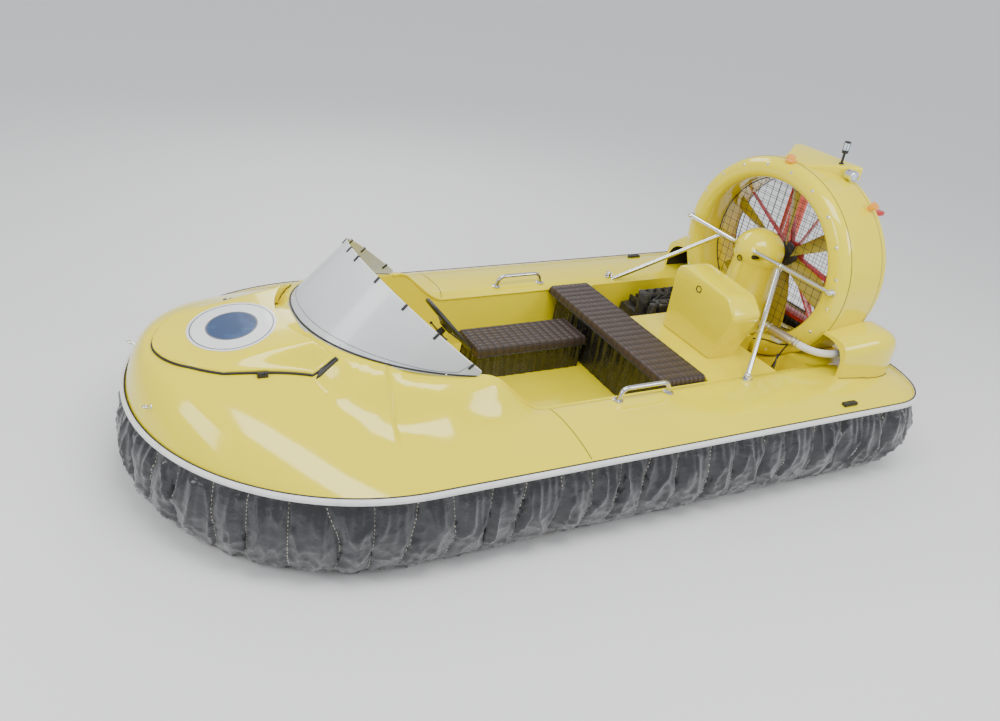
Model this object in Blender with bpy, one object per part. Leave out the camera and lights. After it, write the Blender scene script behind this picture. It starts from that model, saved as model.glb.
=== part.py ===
"""Small GRP hovercraft, bow along +X, port side +Y, floor at Z = 0, in metres."""

import math

import bmesh
import bpy
from mathutils import Matrix, Vector

for old in list(bpy.data.objects):
    bpy.data.objects.remove(old, do_unlink=True)

# Driving dimensions
BEAM_HALF = 0.9126
BOW_X = 1.997
BOW_LONG = 1.059
STERN_X = -2.0
CORNER_LONG = 0.34
CORNER_WIDE = 0.46
RAIL_Z = 0.433
RAIL_TALL = 0.024
RAIL_DEEP = 0.022
DECK_EDGE_Z = 0.437
DECK_CROWN = 0.043
FLOOR_Z = 0.18
HULL_BOTTOM_Z = 0.13
GAP = 0.0004

DUCT_Z = 0.856
DUCT_R = 0.567
DUCT_BORE = 0.452
DUCT_END_X = -1.774
DUCT_SEAM_X = -1.7165
FAN_X = -1.672
FAN_R = 0.440
STATOR_X = -1.735
GUARD_X = -1.606
HUB_R = 0.075

SCREEN_X = 0.539
SCREEN_LONG = 0.729
SCREEN_WIDE = 0.502
SCREEN_POWER = 2.192
SCREEN_Z = 0.664
SCREEN_SLOPE = 0.137
ARCH_TILT = math.radians(40.0)
ARCH_REACH = 0.60

SHOULDER_X = 0.995
LID_TOP_Z = 0.740
LID_TOP_X = 1.546
LID_SLOPE = 0.165

WHEEL_AT = (0.335, -0.215, 0.490)
WHEEL_R = 0.180
WHEEL_RAKE = math.radians(42.0)


def ease(t):
    """Smooth step from 0 to 1."""
    t = min(1.0, max(0.0, t))
    return t * t * (3.0 - 2.0 * t)


def half_width(x):
    """Half width of the rub rail's outline at x."""
    nose = BOW_X - BOW_LONG
    if x > nose:
        t = min(1.0, (x - nose) / BOW_LONG)
        return BEAM_HALF * math.sqrt(max(0.0, 1.0 - t * t))
    tail = STERN_X + CORNER_LONG
    if x < tail:
        t = min(1.0, (tail - x) / CORNER_LONG)
        flat = BEAM_HALF - CORNER_WIDE
        return flat + CORNER_WIDE * max(0.0, 1.0 - t**2.5) ** 0.4
    return BEAM_HALF


def outline(inset=0.0, bow_points=28, corner_points=14, side_points=9):
    """Closed plan outline, counter-clockwise, with outward normals."""
    nose = BOW_X - BOW_LONG
    tail = STERN_X + CORNER_LONG
    port = []
    for i in range(bow_points + 1):
        a = 0.5 * math.pi * i / bow_points
        port.append((nose + BOW_LONG * math.cos(a), BEAM_HALF * math.sin(a)))
    for i in range(1, side_points):
        port.append((nose + (tail - nose) * i / side_points, BEAM_HALF))
    for i in range(corner_points + 1):
        a = 0.5 * math.pi * i / corner_points
        s = math.sin(a) ** 0.8
        c = math.cos(a) ** 0.8
        port.append((tail - CORNER_LONG * s, BEAM_HALF - CORNER_WIDE + CORNER_WIDE * c))
    half = port + [(STERN_X, 0.225)]
    points = half + [(STERN_X, 0.0)] + [(x, -y) for x, y in reversed(half[1:])]
    points = [Vector((x, y)) for x, y in points]
    count = len(points)
    result = []
    for i in range(count):
        along = points[(i + 1) % count] - points[i - 1]
        normal = Vector((along.y, -along.x)).normalized()
        result.append((points[i] - normal * inset, normal))
    return result


def inboard(x, y):
    """Rough distance inboard of the rub rail, and the cosine of the bow angle."""
    nose = BOW_X - BOW_LONG
    tx = max(0.0, (x - nose) / BOW_LONG)
    ty = abs(y) / BEAM_HALF
    r = math.hypot(tx, ty)
    cosine = tx / r if r > 1e-9 else 1.0
    e = 0.95 * (1.0 - r)
    tail = STERN_X + CORNER_LONG
    if x < tail:
        sx = (tail - x) / CORNER_LONG
        sy = max(0.0, abs(y) - (BEAM_HALF - CORNER_WIDE)) / CORNER_WIDE
        e = min(e, 0.36 * (1.0 - (sx**2.5 + sy**2.5) ** 0.4))
    return max(0.0, e), cosine


def screen_half(x):
    """Half width of the windscreen's base line at x."""
    t = (x - SCREEN_X) / SCREEN_LONG
    if t <= 0.0:
        return SCREEN_WIDE
    if t >= 1.0:
        return 0.0
    return SCREEN_WIDE * (1.0 - t**SCREEN_POWER) ** (1.0 / SCREEN_POWER)


def screen_front(y):
    """x of the windscreen's base line at y."""
    t = min(1.0, abs(y) / SCREEN_WIDE)
    return SCREEN_X + SCREEN_LONG * (1.0 - t**SCREEN_POWER) ** (1.0 / SCREEN_POWER)


def cowl_z(x):
    """Height of the cowl edge that carries the windscreen and runs down to the coaming."""
    if x < 0.20:
        return 0.0
    if x < SCREEN_X:
        return 0.457 + (SCREEN_Z - 0.457) * ease((x - 0.20) / (SCREEN_X - 0.20))
    return SCREEN_Z + SCREEN_SLOPE * (x - SCREEN_X)


def deck_z(x, y):
    """Height of the deck moulding over the plan."""
    e, cosine = inboard(x, y)
    rise = 1.0 - (1.0 - min(1.0, e / 0.28)) ** 2
    z = DECK_EDGE_Z + DECK_CROWN * rise
    z -= 0.02 * ease((0.585 - abs(y)) / 0.05) * ease((0.6 - x) / 0.3)
    bow = ease((x - 0.15) / 0.75)
    if bow > 0.0:
        reach = 0.034 + 0.216 * (1.0 - cosine)
        tall = 0.241 * (0.22 + 0.78 * cosine**1.4)
        crown = tall * (1.0 - math.exp(-e / reach)) + 0.115 * e
        z = z * (1.0 - bow) + (DECK_EDGE_Z + crown) * bow
    top = cowl_z(x)
    if top > 0.0:
        if x < SCREEN_X + SCREEN_LONG:
            edge = screen_half(x) + 0.022
        else:
            edge = 0.022
        off = max(0.0, abs(y) - edge)
        front = max(0.0, x - (SCREEN_X + SCREEN_LONG))
        soft = 0.075 + 0.055 * ease((x - 0.35) / 0.45)
        fall = math.exp(-((off / soft) ** 1.7)) * math.exp(-((front / 0.25) ** 2))
        if top > z:
            z = z + (top - z) * fall
    if x > 1.2:
        z = min(z, LID_TOP_Z - LID_SLOPE * (x - LID_TOP_X) - 0.020)
    return z + shoulder(x, y)


def shoulder(x, y):
    """Bulge ahead of the crease beside the windscreen, and the hollow facet behind it."""
    side = abs(y)
    across = ease((side - 0.425) / 0.045) * ease((0.72 - side) / 0.15)
    back = SHOULDER_X + 0.04 * (side - 0.45) - x
    if across <= 0.0 or back < -0.42 or back > 0.52:
        return 0.0
    bulge = 0.014 * ease((back + 0.42) / 0.34) * ease(-back / 0.012)
    hollow = 0.034 * ease(back / 0.022) * (1.0 - back / 0.52)
    return across * (bulge - hollow)


def material(name, colour, rough=0.4, metal=0.0, coat=0.0):
    made = bpy.data.materials.new(name)
    made.use_nodes = True
    shader = made.node_tree.nodes["Principled BSDF"]
    shader.inputs["Base Color"].default_value = (*colour, 1.0)
    shader.inputs["Roughness"].default_value = rough
    shader.inputs["Metallic"].default_value = metal
    shader.inputs["Coat Weight"].default_value = coat
    made.diffuse_color = (*colour, 1.0)
    return made


YELLOW = (0.86, 0.74, 0.012)
BLACK = (0.012, 0.012, 0.014)
RED = (0.55, 0.02, 0.015)


def finish(name, mesh_data, colour, rough=0.4, metal=0.0, smooth=False, origin=None):
    """Make the object from a bmesh, facing outward, with its own material."""
    bmesh.ops.recalc_face_normals(mesh_data, faces=mesh_data.faces)
    if origin is not None:
        bmesh.ops.translate(mesh_data, verts=mesh_data.verts, vec=-Vector(origin))
    data = bpy.data.meshes.new(name)
    mesh_data.to_mesh(data)
    mesh_data.free()
    for face in data.polygons:
        face.use_smooth = smooth
    thing = bpy.data.objects.new(name, data)
    if origin is not None:
        thing.location = origin
    bpy.context.scene.collection.objects.link(thing)
    data.materials.append(material(name + "_skin", colour, rough, metal))
    return thing


def add_loft(bm, rings, closed=True, caps=True, ring_loop=False):
    """Skin a list of rings of points, with capped ends or joined round in a loop."""
    rows = [[bm.verts.new(p) for p in ring] for ring in rings]
    count = len(rows[0])
    last = len(rows) if ring_loop else len(rows) - 1
    for i in range(last):
        a = rows[i]
        b = rows[(i + 1) % len(rows)]
        for j in range(count if closed else count - 1):
            k = (j + 1) % count
            bm.faces.new((a[j], a[k], b[k], b[j]))
    if caps and not ring_loop:
        bm.faces.new(rows[0])
        bm.faces.new(list(reversed(rows[-1])))
    return rows


def add_box(bm, low, high):
    low = Vector(low)
    high = Vector(high)
    matrix = Matrix.Translation((low + high) / 2) @ Matrix.Diagonal((*(high - low), 1.0))
    bmesh.ops.create_cube(bm, size=1.0, matrix=matrix)


def add_cylinder(bm, start, end, radius, sides=16, end_radius=None):
    start = Vector(start)
    end = Vector(end)
    axis = end - start
    turn = axis.to_track_quat("Z", "Y").to_matrix().to_4x4()
    matrix = Matrix.Translation((start + end) / 2) @ turn
    bmesh.ops.create_cone(
        bm,
        cap_ends=True,
        segments=sides,
        radius1=radius,
        radius2=radius if end_radius is None else end_radius,
        depth=axis.length,
        matrix=matrix,
    )


def tube_rings(path, radius, sides=12):
    """Rings of points round a path, turned along it without twist."""
    path = [Vector(p) for p in path]
    rings = []
    side = None
    for i, point in enumerate(path):
        ahead = path[min(i + 1, len(path) - 1)] - path[max(i - 1, 0)]
        ahead.normalize()
        if side is None:
            side = ahead.orthogonal().normalized()
        side = (side - ahead * side.dot(ahead)).normalized()
        other = ahead.cross(side)
        ring = []
        for j in range(sides):
            a = 2.0 * math.pi * j / sides
            ring.append(point + side * radius * math.cos(a) + other * radius * math.sin(a))
        rings.append(ring)
    return rings


def rounded_path(corners, bend, steps=5):
    """A path through the corners with each inner corner rounded."""
    corners = [Vector(c) for c in corners]
    path = [corners[0]]
    for i in range(1, len(corners) - 1):
        back = (corners[i - 1] - corners[i]).normalized() * bend
        on = (corners[i + 1] - corners[i]).normalized() * bend
        for k in range(steps + 1):
            t = k / steps
            a = corners[i] + back * (1 - t) ** 2
            path.append(a + on * t**2)
    path.append(corners[-1])
    return path


def add_lathe(bm, profile, centre, sides=48):
    """Turn a closed profile of (x, r) about the line through centre along X."""
    rings = []
    for i in range(sides):
        a = 2.0 * math.pi * i / sides
        ring = []
        for x, r in profile:
            ring.append((x, centre[0] + r * math.cos(a), centre[1] + r * math.sin(a)))
        rings.append(ring)
    add_loft(bm, rings, closed=True, caps=False, ring_loop=True)


def add_prism(bm, points, low, high, axis="z"):
    """Straight prism over a polygon: (x, y) for z, or (y, z) for x, or (x, z) for y."""

    def place(p, h):
        if axis == "z":
            return (p[0], p[1], h)
        if axis == "x":
            return (h, p[0], p[1])
        return (p[0], h, p[1])

    add_loft(bm, [[place(p, low) for p in points], [place(p, high) for p in points]])


def rounded_polygon(points, radii, steps=4):
    """Polygon with each corner rounded by its own radius."""
    points = [Vector(p) for p in points]
    result = []
    count = len(points)
    for i, corner in enumerate(points):
        radius = radii[i] if isinstance(radii, (list, tuple)) else radii
        if radius <= 0.0:
            result.append(tuple(corner))
            continue
        back = (points[i - 1] - corner).normalized() * radius
        on = (points[(i + 1) % count] - corner).normalized() * radius
        for k in range(steps + 1):
            t = k / steps
            p = corner + back * (1 - t) ** 2 + on * t**2
            result.append(tuple(p))
    return result


def cutter(name, bm):
    thing = finish(name, bm, (0.5, 0.5, 0.5))
    thing.hide_render = True
    thing.display_type = "WIRE"
    return thing


def boolean(target, other, operation="DIFFERENCE"):
    mod = target.modifiers.new(operation.title() + "_" + other.name, "BOOLEAN")
    mod.operation = operation
    mod.solver = "EXACT"
    mod.object = other
    return mod


# Hull: deck moulding over a tub, with the cockpit and the wells cut out
def station_list():
    stations = []
    tail = STERN_X + CORNER_LONG
    for i in range(9):
        stations.append(STERN_X + CORNER_LONG * (1.0 - math.cos(0.5 * math.pi * i / 8)))
    for i in range(1, 9):
        stations.append(tail + (0.10 - tail) * i / 8)
    nose = 1.15
    for i in range(1, 12):
        stations.append(0.10 + (SHOULDER_X - 0.10) * i / 12)
    stations += [SHOULDER_X - 0.018, SHOULDER_X + 0.012, 1.06, nose]
    for i in range(1, 19):
        stations.append(nose + (BOW_X - nose) * math.sin(0.5 * math.pi * i / 19))
    return stations


def deck_form(lift=0.0, grow=1.0, under=0.410):
    """Closed slab under the deck's height field, lifted or grown in plan when asked."""
    bm = bmesh.new()
    across = 34
    rows = []
    for x in station_list():
        w = half_width(x)
        row = []
        for j in range(across + 1):
            s = -1.0 + 2.0 * j / across
            s = math.sin(s * math.pi / 2 * 0.9) / math.sin(math.pi / 2 * 0.9)
            row.append(bm.verts.new((x * grow, w * s * grow, deck_z(x, w * s) + lift)))
        rows.append(row)
    tip = bm.verts.new((BOW_X * grow, 0.0, DECK_EDGE_Z + lift))
    for a, b in zip(rows, rows[1:]):
        for j in range(across):
            bm.faces.new((a[j], a[j + 1], b[j + 1]))
            bm.faces.new((a[j], b[j + 1], b[j]))
    for j in range(across):
        bm.faces.new((rows[-1][j], rows[-1][j + 1], tip))
    rim = [row[0] for row in rows] + [tip] + [row[-1] for row in reversed(rows)]
    rim += list(reversed(rows[0][1:-1]))
    low = [bm.verts.new((v.co.x, v.co.y, under)) for v in rim]
    count = len(rim)
    for i in range(count):
        k = (i + 1) % count
        bm.faces.new((rim[i], rim[k], low[k], low[i]))
    bm.faces.new(low)
    return bm


hull = finish("hull", deck_form(), YELLOW, 0.2)

bm = bmesh.new()
levels = ((0.150, 0.420), (0.165, 0.30), (0.230, 0.17), (0.270, HULL_BOTTOM_Z))
rings = []
for inset, z in levels:
    rings.append([(p.x, p.y, z) for p, n in outline(inset, 12, 4, 4)])
add_loft(bm, rings)
tub = cutter("tub_form", bm)
boolean(hull, tub, "UNION")

bm = bmesh.new()
top = 1.3
well = [(-0.80, -0.50), (0.42, -0.50), (0.58, -0.455), (0.80, -0.40), (0.86, -0.28)]
well += [(0.86, 0.28), (0.80, 0.40), (0.58, 0.455), (0.42, 0.50), (-0.80, 0.50)]
add_loft(
    bm,
    [
        [(x, y, FLOOR_Z) for x, y in well],
        [(x, y * 1.03, 0.36) for x, y in well],
        [(x, y * 1.073, 0.44) for x, y in well],
        [(x, y * 1.08, top) for x, y in well],
    ],
)
boolean(hull, cutter("cockpit_form", bm))

bm = bmesh.new()
well = [(-1.42, -0.535), (-0.79, -0.535), (-0.79, -0.17), (-1.42, -0.17)]
add_prism(bm, rounded_polygon(well, 0.03), 0.20, 0.8)
boolean(hull, cutter("engine_well_form", bm))

bm = bmesh.new()
well = [(-1.43, 0.17), (-1.255, 0.17), (-1.255, 0.535), (-1.43, 0.535)]
add_prism(bm, rounded_polygon(well, 0.02), 0.25, 0.8)
boolean(hull, cutter("port_well_form", bm))

bm = bmesh.new()
add_box(bm, (-1.43, -0.20, 0.440), (-0.79, 0.535, 0.8))
boolean(hull, cutter("platform_form", bm))

bm = bmesh.new()
add_cylinder(bm, (DUCT_END_X - 0.006, 0, DUCT_Z), (-1.415, 0, DUCT_Z), DUCT_R + 0.0006, 96)
boolean(hull, cutter("duct_seat_form", bm))

bm = bmesh.new()
add_cylinder(bm, (-2.2, 0, DUCT_Z), (-1.76, 0, DUCT_Z), 0.47, 64)
boolean(hull, cutter("wash_form", bm))


# Seats: pieces that stand on the deck or the duct are trimmed by these
deck_seat = cutter("deck_seat_form", deck_form(lift=GAP))
bm = bmesh.new()
add_cylinder(bm, (-2.3, 0, DUCT_Z), (-1.3, 0, DUCT_Z), DUCT_R + 0.0006, 96)
duct_seat = cutter("duct_round_form", bm)


# Bow hatch lid: a raised hood with sloping sides
LID_NOSE_X = 1.886
LID_REAR_HALF = 0.338
LID_CLEAR = 0.005


def lid_half(x):
    """Half width of the lid's edge at x."""
    t = min(1.0, max(0.0, (x - 1.21) / (LID_NOSE_X - 1.21)))
    return (LID_REAR_HALF - 0.075 * t) * (1.0 - t**7) ** 0.42


def lid_z(x, y):
    """Height of the lid's outer face: a level top, then sides down to the edge."""
    edge = max(lid_half(x), 0.001)
    front = max(0.0, LID_NOSE_X - x)
    top = LID_TOP_Z - LID_SLOPE * (x - LID_TOP_X) - 0.10 * y * y
    low = deck_z(x, y) + 0.018
    inside = min(edge - abs(y), front * 0.9)
    share = ease(inside / 0.082)
    return max(low, low + (top - low) * share)


def lid_patch(across=20, along=14):
    """Closed shell between the lid's outer face and the deck below it."""
    bm = bmesh.new()
    sheets = []
    for outer in (True, False):
        rows = []
        for i in range(along + 1):
            row = []
            for j in range(across + 1):
                s = -1.0 + 2.0 * j / across
                s = math.copysign(abs(s) ** 0.8, s)
                t = i / along
                rear = screen_front(LID_REAR_HALF * s) + 0.07
                y = LID_REAR_HALF * s
                x = rear
                for turn in range(4):
                    x = rear + (LID_NOSE_X - 0.002 - 0.24 * abs(s) ** 5 - rear) * t
                    y = lid_half(x) * s
                under = deck_z(x, y) - 0.004
                row.append(bm.verts.new((x, y, lid_z(x, y) if outer else under)))
            rows.append(row)
        sheets.append(rows)
    high, low = sheets
    for rows in sheets:
        for i in range(along):
            for j in range(across):
                quad = (rows[i][j], rows[i][j + 1], rows[i + 1][j + 1], rows[i + 1][j])
                bm.faces.new(quad[:3])
                bm.faces.new((quad[0], quad[2], quad[3]))

    def border(rows):
        edge = list(rows[0])
        edge += [rows[i][-1] for i in range(1, along)]
        edge += list(reversed(rows[-1]))
        edge += [rows[i][0] for i in range(along - 1, 0, -1)]
        return edge

    a = border(high)
    b = border(low)
    for i in range(len(a)):
        k = (i + 1) % len(a)
        bm.faces.new((a[i], a[k], b[k], b[i]))
    return bm


LID_HINGE = (1.892, 0.0, 0.665)
KNUCKLE_R = 0.0084
lid = finish("bow_hatch_lid", lid_patch(), YELLOW, 0.2, origin=LID_HINGE)
boolean(lid, cutter("lid_seat_form", deck_form(lift=LID_CLEAR)))
bm = bmesh.new()
hinge_x, hinge_y, hinge_z = LID_HINGE
add_cylinder(bm, (hinge_x, -0.035, hinge_z), (hinge_x, 0.035, hinge_z), KNUCKLE_R, 16)
boolean(hull, cutter("lid_knuckle_form", bm), "UNION")

bm = bmesh.new()
locker = [(1.42, -0.24), (1.74, -0.20), (1.74, 0.20), (1.42, 0.24)]
add_prism(bm, rounded_polygon(locker, 0.05), 0.50, 1.0)
boolean(hull, cutter("locker_form", bm))


# Rub rail round the whole deck edge
def band(name, profile, colour, rough, first=None, last=None, metal=0.0):
    """Sweep a closed profile of (outward, z) along the plan outline."""
    path = outline()
    bm = bmesh.new()
    picked = path if first is None else path[first:last]
    rings = []
    for point, normal in picked:
        rings.append([(point.x + normal.x * o, point.y + normal.y * o, z) for o, z in profile])
    add_loft(bm, rings, ring_loop=first is None)
    return finish(name, bm, colour, rough, metal)


rail_low = RAIL_Z - RAIL_TALL / 2
rail_high = RAIL_Z + RAIL_TALL / 2
rail = band(
    "rub_rail",
    [
        (-0.008, rail_low),
        (RAIL_DEEP * 0.8, rail_low),
        (RAIL_DEEP, rail_low + 0.006),
        (RAIL_DEEP, rail_high - 0.006),
        (RAIL_DEEP * 0.8, rail_high),
        (-0.008, rail_high),
    ],
    (0.82, 0.82, 0.80),
    0.35,
)
boolean(rail, cutter("rail_seat_form", deck_form(lift=0.05, grow=1.0005, under=0.38)))

# Skirt, plain here: four lengths of thick cloth bulging out below the rail
SKIRT = [
    (-0.030, 0.4096),
    (0.015, 0.330),
    (0.040, 0.220),
    (0.030, 0.110),
    (0.000, 0.030),
    (-0.030, 0.002),
    (-0.050, 0.002),
    (-0.020, 0.040),
    (0.008, 0.115),
    (0.018, 0.220),
    (-0.005, 0.325),
    (-0.050, 0.4096),
]
total = len(outline())
bow_end = 21
side_end = 44


def skirt_piece(name, picked):
    bm = bmesh.new()
    rings = []
    for i, (point, normal) in enumerate(picked):
        along = Vector((-normal.y, normal.x))
        pull = 0.0
        if i == 0:
            pull = GAP / 2
        if i == len(picked) - 1:
            pull = -GAP / 2
        p = point + along * pull
        rings.append([(p.x + normal.x * o, p.y + normal.y * o, z) for o, z in SKIRT])
    add_loft(bm, rings)
    return finish(name, bm, BLACK, 0.3)


path = outline()
skirt_piece("skirt_port", path[bow_end : side_end + 1])
skirt_piece("skirt_stern", path[side_end : total - side_end + 1])
skirt_piece("skirt_starboard", path[total - side_end : total - bow_end + 1])
skirt_piece("skirt_bow", path[total - bow_end :] + path[: bow_end + 1])

# Landing skids under the hull
for name, y in (("skid_port", 0.46), ("skid_starboard", -0.46)):
    bm = bmesh.new()
    points = [(-1.45, HULL_BOTTOM_Z - GAP), (-1.35, 0.0), (1.05, 0.0), (1.15, HULL_BOTTOM_Z - GAP)]
    add_prism(bm, points, y - 0.035, y + 0.035, "y")
    finish(name, bm, (0.72, 0.66, 0.42), 0.6)


# Windscreen: a wrapped sheet from its base line to an arch
def screen_point(a, t, out=0.0):
    """Point of the sheet: a goes from port tip over the top to starboard tip."""
    c = math.cos(a)
    s = max(0.0, math.sin(a))
    px = SCREEN_X + SCREEN_LONG * s ** (2 / SCREEN_POWER)
    py = SCREEN_WIDE * math.copysign(abs(c) ** (2 / SCREEN_POWER), c)
    low = Vector((px, py, cowl_z(px) - 0.010))
    high = Vector(
        (
            SCREEN_X + ARCH_REACH * s * math.cos(ARCH_TILT),
            SCREEN_WIDE * c,
            SCREEN_Z + 0.004 + ARCH_REACH * s * math.sin(ARCH_TILT),
        )
    )
    mid = low.lerp(high, t)
    outward = Vector((s * 0.6, c, 0.75 * s + 0.1)).normalized()
    return mid + outward * out


def build_windscreen():
    bm = bmesh.new()
    thick = 0.006
    columns = 40
    levels = 6
    outer = []
    inner = []
    for i in range(columns + 1):
        a = math.pi * (0.012 + 0.976 * i / columns)
        outer.append([bm.verts.new(screen_point(a, k / levels, thick)) for k in range(levels + 1)])
        inner.append([bm.verts.new(screen_point(a, k / levels)) for k in range(levels + 1)])
    for i in range(columns):
        for k in range(levels):
            bm.faces.new((outer[i][k], outer[i + 1][k], outer[i + 1][k + 1], outer[i][k + 1]))
            bm.faces.new((inner[i][k], inner[i][k + 1], inner[i + 1][k + 1], inner[i + 1][k]))
        bm.faces.new((outer[i][0], inner[i][0], inner[i + 1][0], outer[i + 1][0]))
        bm.faces.new((outer[i][-1], outer[i + 1][-1], inner[i + 1][-1], inner[i][-1]))
    for i in (0, columns):
        for k in range(levels):
            quad = (outer[i][k], outer[i][k + 1], inner[i][k + 1], inner[i][k])
            bm.faces.new(quad if i == 0 else tuple(reversed(quad)))
    return finish("windscreen", bm, (0.62, 0.66, 0.68), 0.35)


boolean(build_windscreen(), deck_seat)

# Steering wheel and its column
wheel_normal = Vector((-math.cos(WHEEL_RAKE), 0.0, math.sin(WHEEL_RAKE)))
wheel_turn = wheel_normal.to_track_quat("Z", "Y").to_matrix().to_4x4()
wheel_at = Vector(WHEEL_AT)


def build_wheel():
    bm = bmesh.new()
    rings = []
    for i in range(32):
        a = 2 * math.pi * i / 32
        centre = Vector((math.cos(a), math.sin(a), 0.0))
        ring = []
        for j in range(8):
            b = 2 * math.pi * j / 8
            up = Vector((0, 0, 0.013 * math.sin(b)))
            ring.append(centre * (WHEEL_R - 0.013 + 0.013 * math.cos(b)) + up)
        rings.append(ring)
    add_loft(bm, rings, ring_loop=True)
    rim = finish("steering_wheel", bm, BLACK, 0.45)
    rim.matrix_world = Matrix.Translation(wheel_at) @ wheel_turn
    bm = bmesh.new()
    add_cylinder(bm, (0, 0, -0.040), (0, 0, 0.004), 0.035, 20)
    hub = cutter("wheel_hub_form", bm)
    hub.matrix_world = rim.matrix_world
    boolean(rim, hub, "UNION")
    for i in range(3):
        a = math.radians(90 + 120 * i)
        out = Vector((math.cos(a), math.sin(a), 0.0))
        side = Vector((-out.y, out.x, 0.0))
        bm = bmesh.new()
        start = out * 0.02 + Vector((0, 0, -0.022))
        end = out * (WHEEL_R - 0.012)
        rings = []
        for p, wide in ((start, 0.017), (end, 0.012)):
            rings.append(
                [
                    p + side * wide + Vector((0, 0, 0.004)),
                    p - side * wide + Vector((0, 0, 0.004)),
                    p - side * wide - Vector((0, 0, 0.004)),
                    p + side * wide - Vector((0, 0, 0.004)),
                ]
            )
        add_loft(bm, rings)
        spoke = cutter(f"wheel_spoke_form_{i}", bm)
        spoke.matrix_world = rim.matrix_world
        boolean(rim, spoke, "UNION")
    return rim


build_wheel()
bm = bmesh.new()
column_end = wheel_at - wheel_normal * 0.4359
add_cylinder(bm, wheel_at - wheel_normal * 0.0405, column_end, 0.024, 16)
finish("steering_column", bm, BLACK, 0.5)

# Benches
bm = bmesh.new()
add_box(bm, (-0.49, -0.318, FLOOR_Z + GAP), (0.19, -0.112, 0.330))
finish("long_bench_base", bm, BLACK, 0.4)
bm = bmesh.new()
add_box(bm, (-0.49, -0.325, 0.330 + GAP), (0.20, -0.105, 0.385))
finish("long_bench_pad", bm, (0.04, 0.028, 0.025), 0.6)
bm = bmesh.new()
add_box(bm, (-0.735, -0.485, FLOOR_Z + GAP), (-0.512, 0.485, 0.4445))
finish("cross_bench_base", bm, BLACK, 0.4)
bm = bmesh.new()
add_prism(
    bm,
    rounded_polygon([(-0.752, -0.522), (-0.492, -0.522), (-0.492, 0.522), (-0.752, 0.522)], 0.035),
    0.4445 + GAP,
    0.494,
)
finish("cross_bench_pad", bm, (0.04, 0.028, 0.025), 0.6)

# Grab handles on the side decks
for name, side in (("grab_handle_port", 1), ("grab_handle_starboard", -1)):
    y = 0.590 * side
    bm = bmesh.new()
    z = deck_z(-0.31, abs(y))
    corners = [(-0.160, y, z - 0.02), (-0.178, y, z + 0.062)]
    corners += [(-0.443, y, z + 0.062), (-0.461, y, z - 0.02)]
    add_loft(bm, tube_rings(rounded_path(corners, 0.035), 0.0115, 10))
    boolean(finish(name, bm, (0.6, 0.6, 0.62), 0.2, 1.0), deck_seat)

# Engine cover on the platform
COVER = [(-0.045, 0.440 + GAP), (0.325, 0.440 + GAP), (0.415, 0.735), (0.335, 0.815), (-0.055, 0.840)]
bm = bmesh.new()
add_prism(bm, rounded_polygon(COVER, [0.0, 0.0, 0.03, 0.03, 0.075]), -1.135, -0.950, "x")
finish("engine_cover", bm, YELLOW, 0.25)

bm = bmesh.new()
add_box(bm, (-1.385, -0.515, 0.20 + GAP), (-1.03, -0.20, 0.475))
finish("engine_block", bm, (0.03, 0.03, 0.032), 0.5)

# Tower and ball fairing in front of the fan
TOWER_X = -1.462
BEARING_X = -1.600
TOWER = (
    (0.440 + GAP, -1.410, 0.165, 0.150),
    (0.55, -1.440, 0.140, 0.132),
    (0.70, -1.455, 0.132, 0.124),
    (0.84, -1.462, 0.124, 0.116),
    (0.90, -1.462, 0.100, 0.100),
)
bm = bmesh.new()
rings = []
for z, at, rx, ry in TOWER:
    ring = []
    for i in range(28):
        a = 2 * math.pi * i / 28
        ring.append((at + rx * math.cos(a), ry * math.sin(a), z))
    rings.append(ring)
add_loft(bm, rings)
tower = finish("ball_tower", bm, YELLOW, 0.25, smooth=True)
bm = bmesh.new()
bmesh.ops.create_uvsphere(
    bm, u_segments=28, v_segments=16, radius=0.133, matrix=Matrix.Translation((TOWER_X, 0.0, 0.888))
)
boolean(tower, cutter("ball_form", bm), "UNION")
bm = bmesh.new()
add_cylinder(bm, (BEARING_X, 0, DUCT_Z), (BEARING_X + 0.06, 0, DUCT_Z), 0.034, 24)
boolean(tower, cutter("bearing_form", bm), "UNION")

# Duct with its front lip
profile = [
    (-1.700, DUCT_BORE),
    (-1.560, DUCT_BORE),
    (-1.505, 0.447),
    (-1.470, 0.452),
    (-1.449, 0.470),
    (-1.441, 0.500),
    (-1.447, 0.532),
    (-1.465, 0.555),
    (-1.492, DUCT_R),
    (DUCT_SEAM_X, DUCT_R),
    (DUCT_SEAM_X - 0.002, 0.553),
    (DUCT_END_X, 0.545),
    (DUCT_END_X, 0.470),
]
bm = bmesh.new()
add_lathe(bm, profile, (0.0, DUCT_Z), 64)
finish("duct_ring", bm, YELLOW, 0.2, smooth=False)


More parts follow.
